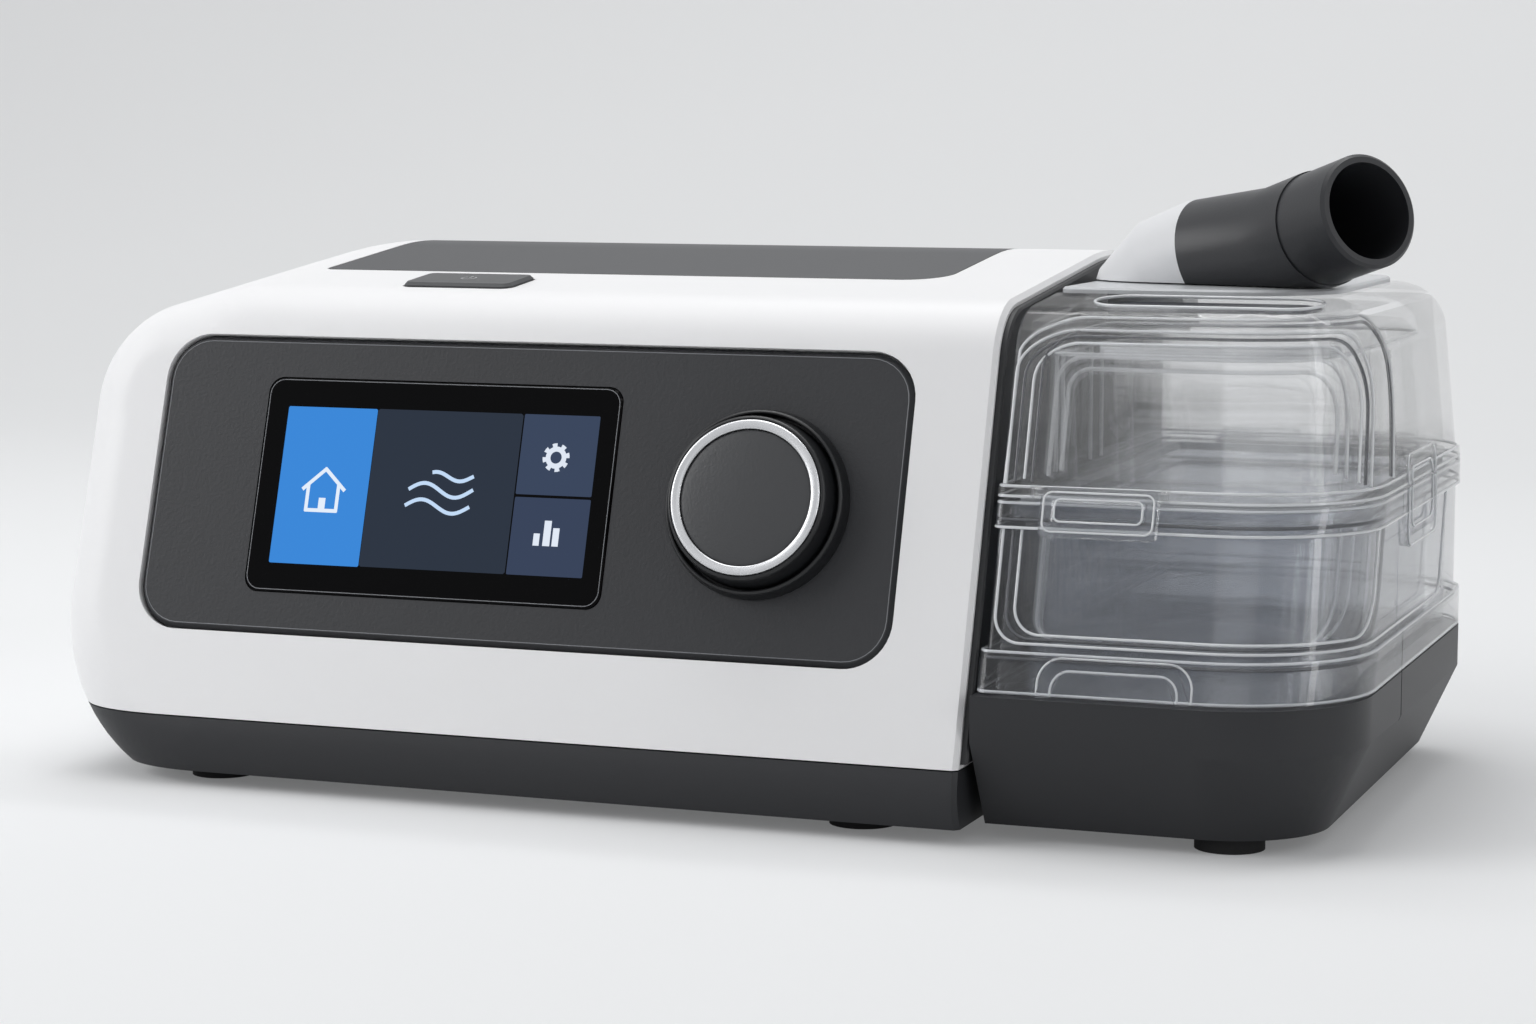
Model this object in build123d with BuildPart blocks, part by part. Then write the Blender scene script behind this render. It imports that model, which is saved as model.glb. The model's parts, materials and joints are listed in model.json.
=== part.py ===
from build123d import *
import math
import os

# Bilevel PAP machine: a blower unit with a leaning front panel, and a clear humidifier beside it.
# Millimetres. X runs left to right, Y from front to rear, Z up from the table.

os.makedirs("parts", exist_ok=True)

# Overall sizes
overall_width = 267.6
overall_depth = 145.0
humidifier_width = 68.6
unit_gap = 1.7
foot_height = 3.0
foot_radius = 6.5
parting_height = 14.2
crest_height = 105.8
crest_depth = 102.5

# Blower unit form
front_lean = 17.3
top_rise = 6.0
rear_fall = 5.0
nose_height = 10.0
rim_radius = 14.0
rear_bevel = 6.0
crest_radius = 110.0
keel_radius = 38.0
shoulder_run = 32.5
shoulder_drop = 9.0
shoulder_radius = 50.0
side_radius = 22.0
edge_bevel = 0.9
case_wall = 2.5
seam_gap = 0.3
seat_gap = 0.3

# Front panel, measured along the leaning face
panel_width = 160.0
panel_height = 60.0
panel_corner = 9.0
panel_offset = 3.15
panel_rise = 60.0
panel_gap = 0.4
panel_sink = 0.4
panel_thickness = 3.5
panel_bevel = 0.8
panel_ledge = 2.5
ledge_depth = 6.0
frame_margin = 3.0
glass_width = 77.3
glass_height = 43.5
glass_corner = 3.0
glass_thickness = 1.9
glass_proud = 0.3
glass_gap = 0.2
glass_offset = 17.8
display_width = 71.0
display_height = 35.0
display_offset = 17.2
module_margin = 1.5
module_thickness = 3.6
board_thickness = 1.6
control_board_width = 140.0
control_board_height = 50.0
post_radius = 2.5

# Dial
dial_offset = 51.1
dial_radius = 15.0
dial_height = 7.6
skirt_radius = 16.6
ring_width = 1.9
cap_sink = 0.5
collar_radius = 18.4
collar_height = 3.4
shaft_radius = 3.0
running_gap = 0.05
bush_radius = 4.5
encoder_size = 12.0
encoder_height = 7.0
push_travel = 0.8

# Top panel and start button
top_panel_left = 39.5
top_panel_right = 21.5
top_panel_front = 56.0
top_panel_rear = 14.0
top_panel_thickness = 1.0
top_panel_gap = 0.3
top_panel_corner = 9.0
button_width = 24.0
button_length = 13.4
button_left = 67.8
button_front = 35.2
button_corner = 2.0
button_proud = 0.9
button_travel = 0.8
button_gap = 0.35
switch_size = 6.0
switch_height = 3.6

# Blower
blower_from_left = 85.8
blower_from_rear = 60.5
volute_radius = 34.0
volute_floor = 48.0
volute_height = 30.0
volute_wall = 2.0
outlet_width = 22.0
outlet_reach = 46.0
impeller_radius = 27.0
impeller_clearance = 2.0
blade_count = 11
blade_height = 12.0
inlet_radius = 12.0
motor_radius = 15.0
motor_height = 20.0
spindle_radius = 2.0
bearing_radius = 5.0
bearing_width = 4.0
mount_radius = 4.0
mount_spacing = 52.0

# Air port between the units
port_z = 79.0
port_radius = 8.5
port_wall = 1.6
dock_thickness = 1.4
dock_margin = 1.6

# Rear panel fittings
filter_width = 50.0
filter_height = 30.0
filter_from_left = 53.8
filter_z = 56.0
filter_depth = 9.0
filter_wall = 1.6
cover_thickness = 2.4
cover_gap = 0.4
slat_count = 7
inlet_from_right = 45.5
inlet_z = 24.6
inlet_size = 12.0
jack_radius = 3.3
jack_depth = 11.0

# Humidifier
base_top = 28.0
base_crease = 19.5
base_toe = 7.5
base_wall = 4.4
bay_floor = 16.2
chamber_corner = 27.0
chamber_rear_corner = 18.0
chamber_left_corner = 2.5
vessel_corner = 11.5
hinge_allowance = 6.0
bay_gap = 0.6
lid_seam = 63.0
lid_height = 99.2
lid_flat_depth = 50.5
lid_slope = 5.5
lid_edge_radius = 10.0
lid_side_lean = 5.0
flange_height = 8.0
flange_step = 1.2
shell_wall = 2.0
rim_height = 4.6
rim_step = 0.4
vessel_inset = 7.0
vessel_wall = 1.8
vessel_floor = 2.0
plate_margin = 6.0
plate_thickness = 1.2
heater_thickness = 1.8
liner_top = 91.5
liner_wall = 1.5
hinge_radius = 3.0
hinge_pin_radius = 1.5
knuckle_length = 8.0

# Outlet elbow
elbow_from_left = 12.9
elbow_from_rear = 62.8
throat_heading = 22.0
throat_tilt = 8.8
throat_length = 18.5
bend_radius = 19.0
kink_reach = 30.5
kink_height = 108.3
mouth_heading = 40.0
mouth_tilt = 15.2
mouth_run = 27.5
elbow_radius = 11.3
spigot_radius = 11.0
spigot_bore = 9.3
spigot_length = 14.0
spigot_bevel = 0.6
neck_radius = 9.0
neck_wall = 1.4
neck_length = 6.9
plate_rise = 1.1
plate_corner = 20.0

# Latches
latch_width = 22.0
latch_height = 9.2
latch_frame = 2.2
latch_thickness = 1.8
latch_gap = 0.4
latch_top = 0.8
latch_from_left = 20.8
latch_pin_radius = 0.8
clasp_length = 30.0
clasp_height = 18.0
clasp_rib = 2.2
clasp_proud = 1.0
clasp_y = 6.0
seam_y = -14.0
seam_width = 0.6
seam_depth = 0.5

# Derived places
left_x = -overall_width / 2
right_x = overall_width / 2
rear_y = overall_depth / 2
body_right = right_x - humidifier_width - unit_gap
chamber_left = right_x - humidifier_width
body_width = body_right - left_x
body_middle = (left_x + body_right) / 2
crest_y = crest_depth - overall_depth / 2
lean = math.radians(front_lean)
panel_x = body_middle + panel_offset
chamber_rear = rear_y - hinge_allowance
blower_x = left_x + blower_from_left
blower_y = rear_y - blower_from_rear
port_y = blower_y + volute_radius - outlet_width / 2
filter_x = left_x + filter_from_left
inlet_x = body_right - inlet_from_right
elbow_x = chamber_left + elbow_from_left
elbow_y = rear_y - elbow_from_rear
latch_x = chamber_left + latch_from_left


def save(piece, name):
    """Labels a finished piece and writes it to its own file."""
    piece.part.label = name
    export_step(piece.part, f"parts/{name}.step")


def front_line(z, inset=0.0):
    """Y of the leaning front face at height z, moved inwards by inset."""
    tangent_y = -overall_depth / 2 + rim_radius * (1 - math.cos(lean))
    tangent_z = nose_height + rim_radius * math.sin(lean)
    return tangent_y + (z - tangent_z) * math.tan(lean) + inset / math.cos(lean)


def top_line(y, inset=0.0):
    """Height of the top of the blower unit at depth y, in front of its crest."""
    return crest_height - inset + math.tan(math.radians(top_rise)) * (y - crest_y)


panel_plane = Plane(
    origin=(panel_x, front_line(panel_rise), panel_rise),
    x_dir=(1, 0, 0),
    z_dir=(0, -math.cos(lean), math.sin(lean)),
)


def side_profile(inset):
    """Corner points of the blower unit's side view, moved inwards by inset."""
    bottom = nose_height - rim_radius + inset
    rise = math.tan(math.radians(top_rise))
    fall = math.tan(math.radians(rear_fall))
    crest = crest_height - inset
    front_top = (crest + rise * (front_line(0, inset) - crest_y)) / (1 - rise * math.tan(lean))
    back = rear_y - inset
    return [
        (front_line(bottom, inset), bottom),
        (front_line(front_top, inset), front_top),
        (crest_y, crest),
        (back, crest - fall * (back - crest_y)),
        (back, bottom),
    ]


def upper_edges(face, depth):
    """The edges along the top of the left face, no more than depth below the crest."""
    return [e for e in face.edges() if e.center().Z > crest_height - depth and abs(e.tangent_at(0.5).Z) < 0.3]


def rim_edges(face, inset):
    """The edges round a front or rear face, without the one beside the humidifier."""
    return [e for e in face.edges() if e.center().X < body_right - inset - 0.01]


def leaning_face(form):
    """The flat front face of a body form."""
    flats = [f for f in form.faces().filter_by(GeomType.PLANE) if f.normal_at().Y < -0.9]
    return ShapeList(flats).sort_by(SortBy.AREA)[-1]


# Outside form of the blower unit, closed, before it is hollowed and parted
with BuildPart() as body_form:
    with BuildSketch(Plane.YZ.offset(left_x)):
        with BuildLine():
            FilletPolyline(*side_profile(0.0), radius=[0, crest_radius, 0])
            Line(side_profile(0.0)[-1], side_profile(0.0)[0])
        make_face()
    extrude(amount=body_width)
    fillet(body_form.faces().sort_by(Axis.X)[0].edges().sort_by(Axis.Z)[0], keel_radius)
    left_face = body_form.faces().filter_by(Plane.YZ).sort_by(Axis.X)[0]
    chamfer(upper_edges(left_face, 15), length=shoulder_drop, length2=shoulder_run, reference=left_face)
    left_face = body_form.faces().filter_by(Plane.YZ).sort_by(Axis.X)[0]
    fillet(upper_edges(left_face, 25), side_radius)
    shoulder_line = left_x + shoulder_run
    ridge = [e for e in body_form.edges() if abs(e.center().X - shoulder_line) < 0.5]
    fillet(ShapeList(ridge).filter_by(lambda e: e.center().Z > 80), shoulder_radius)
    fillet(rim_edges(leaning_face(body_form), 0.0), rim_radius)
    chamfer(rim_edges(body_form.faces().sort_by(Axis.Y)[-1], 0.0), rear_bevel)
    chamfer(body_form.faces().sort_by(Axis.X)[-1].edges(), edge_bevel)

# Space inside it, with bevels where the outside is rounded
hollow_bevel = 0.74 * (rim_radius - case_wall)
with BuildPart() as body_hollow:
    with BuildSketch(Plane.YZ.offset(left_x + case_wall)) as hollow_side:
        with BuildLine():
            Polyline(*side_profile(case_wall), close=True)
        make_face()
        chamfer(hollow_side.vertices().group_by(Axis.Y)[0], 1.6 * hollow_bevel)
    extrude(amount=body_width - 2 * case_wall)
    fillet(body_hollow.faces().sort_by(Axis.X)[0].edges().sort_by(Axis.Z)[0], keel_radius - case_wall)
    left_face = body_hollow.faces().filter_by(Plane.YZ).sort_by(Axis.X)[0]
    chamfer(upper_edges(left_face, 15), length=shoulder_drop, length2=shoulder_run, reference=left_face)
    left_face = body_hollow.faces().filter_by(Plane.YZ).sort_by(Axis.X)[0]
    chamfer(upper_edges(left_face, 25), 0.45 * side_radius)
    front_rim = rim_edges(leaning_face(body_hollow), case_wall)
    chamfer(ShapeList(front_rim).filter_by(lambda e: e.center().Z > nose_height + rim_radius), hollow_bevel)
    chamfer(rim_edges(body_hollow.faces().sort_by(Axis.Y)[-1], case_wall), hollow_bevel)
    split(bisect_by=Plane.XY.offset(foot_height + case_wall), keep=Keep.TOP)


def rounded_slab(plane, width, height, corner, low, high):
    """A rounded rectangle on a plane, from low to high along its normal."""
    with BuildPart() as slab:
        with BuildSketch(plane.offset(low)):
            RectangleRounded(width, height, corner)
        extrude(amount=high - low)
    return slab.part


# Panel window, the frame behind it, and the screw pillars of the case
window_cut = rounded_slab(
    panel_plane, panel_width + 2 * panel_gap, panel_height + 2 * panel_gap, panel_corner + panel_gap,
    -panel_sink - panel_thickness - seat_gap, 6.0,
)
window_frame = rounded_slab(
    panel_plane, panel_width + 2 * frame_margin, panel_height + 2 * frame_margin, panel_corner + frame_margin,
    -ledge_depth, -1.0,
)
window_throat = rounded_slab(
    panel_plane, panel_width - 2 * panel_ledge, panel_height - 2 * panel_ledge, panel_corner - panel_ledge,
    -ledge_depth - 4.0, 0.0,
)
pillar_radius = 3.6
screw_radius = 1.15
screw_left = left_x + 23.8
screw_right = body_right - 7.5
screw_places = [
    (screw_left, -rear_y + 34.5), (screw_left, rear_y - 22.5),
    (screw_right, -rear_y + 38.5), (screw_right, rear_y - 12.5),
]
with BuildPart() as screw_pillars:
    with Locations(*[(x, y, parting_height + seam_gap / 2) for x, y in screw_places]):
        Box(2 * pillar_radius, 2 * pillar_radius, crest_height, align=(Align.CENTER, Align.CENTER, Align.MIN))
    add(body_form.part, mode=Mode.INTERSECT)

# Outlines of the pieces let into the top
crown_plane = Plane.XY.offset(crest_height - 20)
slope = math.radians(top_rise)
button_x = left_x + button_left + button_width / 2
button_y = -overall_depth / 2 + button_front + button_length / 2
button_plane = Plane(
    origin=(button_x, button_y, top_line(button_y)), x_dir=(1, 0, 0), z_dir=(0, -math.sin(slope), math.cos(slope))
)
button_board_drop = 8.4


def crown_outline(margin):
    """Prism over the top panel's outline, grown by margin."""
    left = left_x + top_panel_left - margin
    right = body_right - top_panel_right + margin
    front = -overall_depth / 2 + top_panel_front - margin
    rear = rear_y - top_panel_rear + margin
    with BuildPart() as prism:
        with BuildSketch(crown_plane):
            with BuildLine():
                FilletPolyline(
                    (left, front), (right, front), (right, rear), (left, rear), close=True,
                    radius=[2 + margin, top_panel_corner + margin, 6 + margin, 6 + margin],
                )
            make_face()
        extrude(amount=30)
    return prism.part


def crown_layer(depth):
    """The outside form lowered by depth."""
    return body_form.part.moved(Location((0, 0, -depth)))


# White upper case of the blower unit
with BuildPart() as top_recess:
    add(crown_outline(top_panel_gap))
    add(crown_layer(top_panel_thickness + 0.2), mode=Mode.SUBTRACT)

with BuildPart() as housing_shell:
    add(body_form.part)
    add(body_hollow.part, mode=Mode.SUBTRACT)
    add(screw_pillars.part)
    split(bisect_by=Plane.XY.offset(parting_height + seam_gap / 2), keep=Keep.TOP)
    add(window_frame)
    add(window_cut, mode=Mode.SUBTRACT)
    add(window_throat, mode=Mode.SUBTRACT)
    add(top_recess.part, mode=Mode.SUBTRACT)
    with BuildSketch(button_plane.offset(2)):
        RectangleRounded(
            button_width + 2 * button_gap, button_length + 2 * button_gap, button_corner + button_gap
        )
    extrude(amount=-8, mode=Mode.SUBTRACT)
    with BuildSketch(button_plane.offset(-case_wall)):
        RectangleRounded(button_width + 5, button_length + 5, button_corner + 1)
    extrude(amount=-8, mode=Mode.SUBTRACT)
    with BuildSketch(button_plane.offset(-button_board_drop)):
        with Locations((-button_width / 2 - 4.5, 0), (button_width / 2 + 4.5, 0)):
            Rectangle(3, 6)
    extrude(amount=button_board_drop - 1)
    with BuildSketch(Plane.YZ.offset(body_right - case_wall - 1)):
        with Locations((port_y, port_z)):
            Circle(port_radius + port_wall + seat_gap)
    extrude(amount=case_wall + 2, mode=Mode.SUBTRACT)
    with BuildSketch(Plane.XZ.offset(-rear_y - 1)):
        with Locations((filter_x, filter_z)):
            RectangleRounded(filter_width + 2 * cover_gap, filter_height + 2 * cover_gap, 3 + cover_gap)
        with Locations((inlet_x, inlet_z)):
            Circle(inlet_size / 2 - 0.8 + seat_gap)
    extrude(amount=case_wall + 2, mode=Mode.SUBTRACT)
    with Locations(*[(x, y, parting_height) for x, y in screw_places]):
        Box(2 * screw_radius, 2 * screw_radius, 24, mode=Mode.SUBTRACT)
save(housing_shell, "housing_shell")

# Dark lower tray, with bosses for the screws, the boards and the blower
screw_head_radius = 3.0
screw_head_height = 2.4
screw_seat = foot_height + 3.0
board_top = 18.0
main_board_left = blower_x + 39.0
main_board_right = body_right - 16.5
main_board_width = main_board_right - main_board_left
main_board_length = overall_depth - 33.0
main_board_x = (main_board_left + main_board_right) / 2
main_board_y = rear_y - 60.5
mount_top = volute_floor - 6.0
foot_y = rear_y - 16.5
foot_places = [(x, y) for x in (left_x + 35.8, body_right - 23.5) for y in (-foot_y, foot_y)]
humidifier_feet = [(right_x - 23.8, -rear_y + 19.5), (right_x - 23.8, rear_y - 22.5)]
with BuildPart() as base_tray:
    add(body_form.part)
    add(body_hollow.part, mode=Mode.SUBTRACT)
    split(bisect_by=Plane.XY.offset(parting_height - seam_gap / 2), keep=Keep.BOTTOM)
    split(bisect_by=Plane.XY.offset(foot_height), keep=Keep.TOP)
    with BuildSketch(Plane.XY.offset(foot_height + 1)):
        with Locations(*screw_places):
            Rectangle(2 * pillar_radius + 2, 2 * pillar_radius + 2)
    extrude(amount=parting_height - seam_gap / 2 - foot_height - 1)
    with BuildSketch(Plane.XY.offset(foot_height + 1)):
        with Locations((main_board_x, main_board_y)):
            with GridLocations(main_board_width - 8, main_board_length - 8, 2, 2):
                Rectangle(2 * post_radius, 2 * post_radius)
    extrude(amount=board_top - board_thickness - foot_height - 1)
    with BuildSketch(Plane.XY.offset(foot_height + 1)):
        with Locations((blower_x, blower_y)):
            with PolarLocations(mount_spacing / 2, 3, start_angle=90):
                Rectangle(2 * mount_radius, 2 * mount_radius)
    extrude(amount=mount_top - foot_height - 1)
    with BuildSketch(Plane.XY):
        with Locations(*screw_places):
            RegularPolygon(screw_head_radius + 0.3, 8)
    extrude(amount=screw_seat, mode=Mode.SUBTRACT)
    with BuildSketch(Plane.XY):
        with Locations(*screw_places):
            RegularPolygon(screw_radius + 0.4, 8)
    extrude(amount=parting_height, mode=Mode.SUBTRACT)
save(base_tray, "base_tray")

with BuildPart() as case_screws:
    with BuildSketch(Plane.XY.offset(screw_seat - screw_head_height)):
        with Locations(*screw_places):
            RegularPolygon(screw_head_radius, 8)
    extrude(amount=screw_head_height)
    with BuildSketch(Plane.XY.offset(screw_seat)):
        with Locations(*screw_places):
            Rectangle(2 * screw_radius - 0.1, 2 * screw_radius - 0.1)
    extrude(amount=parting_height + 8 - screw_seat)
    with BuildSketch(Plane.XY.offset(screw_seat - screw_head_height)):
        with Locations(*screw_places):
            RegularPolygon(1.3, 6)
    extrude(amount=1.2, mode=Mode.SUBTRACT)
save(case_screws, "case_screws")

with BuildPart() as rubber_feet:
    with BuildSketch():
        with Locations(*(foot_places + humidifier_feet)):
            Circle(foot_radius)
    extrude(amount=foot_height)
save(rubber_feet, "rubber_feet")

# Dark front panel, the glass over the display, and what stands behind them
bezel_face = panel_plane.offset(-panel_sink)
dial_plane = Plane(
    origin=bezel_face.from_local_coords((dial_offset, 0, 0)), x_dir=bezel_face.x_dir, z_dir=bezel_face.z_dir
)
glass_plane = Plane(
    origin=bezel_face.from_local_coords((-glass_offset, 0, 0)), x_dir=bezel_face.x_dir, z_dir=bezel_face.z_dir
)
display_plane = Plane(
    origin=bezel_face.from_local_coords((-display_offset, 0, 0)), x_dir=bezel_face.x_dir, z_dir=bezel_face.z_dir
)
pocket_depth = glass_thickness - glass_proud
encoder_top = -panel_thickness
board_face = encoder_top - encoder_height
with BuildPart() as front_bezel:
    with BuildSketch(bezel_face):
        RectangleRounded(panel_width, panel_height, panel_corner)
    extrude(amount=-panel_thickness)
    chamfer(front_bezel.faces().sort_by(Axis.Y)[0].edges(), panel_bevel)
    with BuildSketch(glass_plane):
        RectangleRounded(glass_width + 2 * glass_gap, glass_height + 2 * glass_gap, glass_corner + glass_gap)
    extrude(amount=-pocket_depth, mode=Mode.SUBTRACT)
    with BuildSketch(display_plane):
        RectangleRounded(display_width, display_height, 1.0)
    extrude(amount=-panel_thickness, mode=Mode.SUBTRACT)
    with BuildSketch(dial_plane):
        Circle(bush_radius + 0.1)
    extrude(amount=-panel_thickness, mode=Mode.SUBTRACT)
    with BuildSketch(bezel_face.offset(-panel_thickness)):
        with GridLocations(control_board_width - 8, control_board_height - 8, 2, 2):
            Rectangle(2 * post_radius, 2 * post_radius)
    extrude(amount=-encoder_height)
save(front_bezel, "front_bezel")

with BuildPart() as display_glass:
    with BuildSketch(glass_plane.offset(-pocket_depth)):
        RectangleRounded(glass_width, glass_height, glass_corner)
    extrude(amount=glass_thickness)
    chamfer(display_glass.faces().sort_by(Axis.Y)[0].edges(), 0.3)
save(display_glass, "display_glass")

with BuildPart() as display_module:
    with BuildSketch(display_plane.offset(-panel_thickness - module_thickness)):
        Rectangle(display_width + 2 * module_margin, display_height + 2 * module_margin)
    extrude(amount=module_thickness)
save(display_module, "display_module")

with BuildPart() as control_board:
    with BuildSketch(bezel_face.offset(board_face - board_thickness)):
        RectangleRounded(control_board_width, control_board_height, 2)
    extrude(amount=board_thickness)
    with BuildSketch(bezel_face.offset(board_face - board_thickness)):
        with Locations((-40, 8), (-40, -10), (0, 0)):
            Rectangle(10, 10)
        with Locations((40, 16), (40, -16)):
            Rectangle(18, 5)
    extrude(amount=-2.4)
save(control_board, "control_board")

# Dial: encoder in the panel, fixed collar, and the turning knob
plunger_radius = 4.0
cavity_floor = board_face + 0.5
cavity_roof = cavity_floor + 1.0 + push_travel + 0.4
plunger_seat = cavity_roof - 0.2
knob_bottom = 1.0
hub_bottom = 3.2
with BuildPart() as encoder_body:
    with BuildSketch(dial_plane.offset(board_face)):
        Rectangle(encoder_size, encoder_size)
    extrude(amount=encoder_height)
    with BuildSketch(dial_plane.offset(encoder_top)):
        Circle(bush_radius)
    extrude(amount=2.4 - encoder_top)
    with BuildSketch(dial_plane.offset(cavity_floor)):
        Circle(plunger_radius + 0.3)
    extrude(amount=cavity_roof - cavity_floor, mode=Mode.SUBTRACT)
    with BuildSketch(dial_plane.offset(cavity_roof - 0.1)):
        Circle(shaft_radius + running_gap)
    extrude(amount=20, mode=Mode.SUBTRACT)
save(encoder_body, "encoder_body")

with BuildPart() as encoder_nut:
    with BuildSketch(dial_plane):
        RegularPolygon(7.0, 6)
        Circle(bush_radius + running_gap, mode=Mode.SUBTRACT)
    extrude(amount=1.8)
save(encoder_nut, "encoder_nut")

with BuildPart() as encoder_plunger:
    with BuildSketch(dial_plane.offset(plunger_seat - 1.0)):
        Circle(plunger_radius)
    extrude(amount=1.0)
save(encoder_plunger, "encoder_plunger")

with BuildPart() as encoder_shaft:
    with BuildSketch(dial_plane.offset(plunger_seat)):
        Circle(shaft_radius)
    extrude(amount=hub_bottom + 2.6 - plunger_seat)
save(encoder_shaft, "encoder_shaft")

with BuildPart() as dial_collar:
    with BuildSketch(dial_plane):
        Circle(collar_radius)
        Circle(skirt_radius + 0.4, mode=Mode.SUBTRACT)
    extrude(amount=collar_height)
save(dial_collar, "dial_collar")

with BuildPart() as dial_skirt:
    with BuildSketch(dial_plane.offset(knob_bottom)):
        Circle(skirt_radius)
    extrude(amount=dial_height - knob_bottom - 0.2, taper=8)
    with BuildSketch(dial_plane.offset(knob_bottom)):
        RegularPolygon(skirt_radius - 4.0, 12)
    extrude(amount=hub_bottom - knob_bottom, mode=Mode.SUBTRACT)
    with BuildSketch(dial_plane.offset(hub_bottom - 1)):
        Circle(shaft_radius + running_gap)
    extrude(amount=3.6, mode=Mode.SUBTRACT)
    with BuildSketch(dial_plane.offset(dial_height + 1)):
        Circle(dial_radius)
    extrude(amount=-2.4, mode=Mode.SUBTRACT)
save(dial_skirt, "dial_skirt")

with BuildPart() as dial_ring:
    with BuildSketch(dial_plane.offset(dial_height - 1.4)):
        Circle(dial_radius - running_gap)
        Circle(dial_radius - ring_width, mode=Mode.SUBTRACT)
    extrude(amount=1.6)
save(dial_ring, "dial_ring")

with BuildPart() as dial_cap:
    with BuildSketch(dial_plane.offset(dial_height - 1.4)):
        Circle(dial_radius - ring_width - running_gap)
    extrude(amount=1.4 - cap_sink + 0.2)
save(dial_cap, "dial_cap")

# Top panel, start button and its switch
with BuildPart() as top_panel:
    add(crown_outline(0.0))
    add(body_form.part, mode=Mode.INTERSECT)
    add(crown_layer(top_panel_thickness), mode=Mode.SUBTRACT)
save(top_panel, "top_panel")

flange_drop = -case_wall - button_travel - 0.6
with BuildPart() as start_button:
    with BuildSketch(button_plane.offset(flange_drop)):
        RectangleRounded(button_width, button_length, button_corner)
    extrude(amount=button_proud - flange_drop)
    chamfer(start_button.faces().sort_by(Axis.Z)[-1].edges(), 0.6)
    with BuildSketch(button_plane.offset(flange_drop)):
        RectangleRounded(button_width + 3, button_length + 3, button_corner + 1)
    extrude(amount=1.2)
    with BuildSketch(button_plane.offset(flange_drop)):
        Rectangle(3, 3)
    extrude(amount=-button_board_drop + switch_height - flange_drop - 0.2 - 1.0, dir=button_plane.z_dir)
save(start_button, "start_button")

with BuildPart() as button_switch:
    with BuildSketch(button_plane.offset(-button_board_drop - board_thickness)):
        RectangleRounded(button_width + 14, 12, 1.5)
    extrude(amount=board_thickness)
    with BuildSketch(button_plane.offset(-button_board_drop)):
        Rectangle(switch_size, switch_size)
    extrude(amount=switch_height)
    with BuildSketch(button_plane.offset(-button_board_drop + switch_height)):
        Rectangle(3.4, 3.4)
    extrude(amount=-2.6, mode=Mode.SUBTRACT)
save(button_switch, "button_switch")

# Blower: case in two halves, motor, rotor, and silicone mounts on the tray's posts
split_z = volute_floor + volute_height / 2
volute_top = volute_floor + volute_height
outlet_y = blower_y + volute_radius - outlet_width / 2
outlet_end = blower_x + outlet_reach


def volute_section(z, inset):
    """Outline of the blower case at height z: the round chamber and its outlet towards the humidifier."""
    with BuildSketch(Plane.XY.offset(z)) as section:
        with Locations((blower_x, blower_y)):
            Circle(volute_radius - inset)
        with Locations((blower_x + outlet_reach / 2, outlet_y)):
            Rectangle(outlet_reach, outlet_width - 2 * inset)
    return section.sketch


with BuildPart() as blower_lower_case:
    add(volute_section(volute_floor, 0))
    extrude(amount=split_z - volute_floor)
    add(volute_section(volute_floor + volute_wall, volute_wall))
    extrude(amount=volute_height, mode=Mode.SUBTRACT)
    with BuildSketch(Plane.XY.offset(volute_floor)):
        with Locations((blower_x, blower_y)):
            Circle(spindle_radius + 0.6)
    extrude(amount=volute_wall, mode=Mode.SUBTRACT)
save(blower_lower_case, "blower_lower_case")

with BuildPart() as blower_upper_case:
    add(volute_section(split_z, 0))
    extrude(amount=volute_top - split_z)
    add(volute_section(split_z, volute_wall))
    extrude(amount=volute_top - split_z - volute_wall, mode=Mode.SUBTRACT)
    with BuildSketch(Plane.XY.offset(split_z)):
        with Locations((blower_x, blower_y)):
            Circle(inlet_radius)
    extrude(amount=volute_height, mode=Mode.SUBTRACT)
save(blower_upper_case, "blower_upper_case")

with BuildPart() as blower_motor:
    with BuildSketch(Plane.XY.offset(volute_floor)):
        with Locations((blower_x, blower_y)):
            Circle(motor_radius)
            Circle(bearing_radius + running_gap, mode=Mode.SUBTRACT)
    extrude(amount=-motor_height)
save(blower_motor, "blower_motor")

with BuildPart() as motor_bearings:
    for z in (volute_floor - bearing_width, volute_floor - motor_height):
        with BuildSketch(Plane.XY.offset(z)):
            with Locations((blower_x, blower_y)):
                Circle(bearing_radius)
                Circle(spindle_radius + running_gap, mode=Mode.SUBTRACT)
        extrude(amount=bearing_width)
save(motor_bearings, "motor_bearings")

with BuildPart() as motor_shaft:
    with BuildSketch(Plane.XY.offset(volute_floor - motor_height + 0.5)):
        with Locations((blower_x, blower_y)):
            Circle(spindle_radius)
    extrude(amount=motor_height + 18)
save(motor_shaft, "motor_shaft")

impeller_floor = volute_floor + volute_wall + 3.0
with BuildPart() as impeller:
    with BuildSketch(Plane.XY.offset(impeller_floor)):
        with Locations((blower_x, blower_y)):
            Circle(impeller_radius)
    extrude(amount=1.5)
    with BuildSketch(Plane.XY.offset(impeller_floor)):
        with Locations((blower_x, blower_y)):
            RegularPolygon(6, 8)
    extrude(amount=blade_height)
    with BuildSketch(Plane.XY.offset(impeller_floor + 1)):
        with Locations((blower_x, blower_y)):
            with PolarLocations(0, blade_count):
                with Locations(Location((17.5, 0, 0), (0, 0, 28))):
                    Rectangle(17, 1.1)
    extrude(amount=blade_height - 1)
    with BuildSketch(Plane.XY.offset(impeller_floor)):
        with Locations((blower_x, blower_y)):
            Circle(spindle_radius + 0.03)
    extrude(amount=blade_height, mode=Mode.SUBTRACT)
save(impeller, "impeller")

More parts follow.
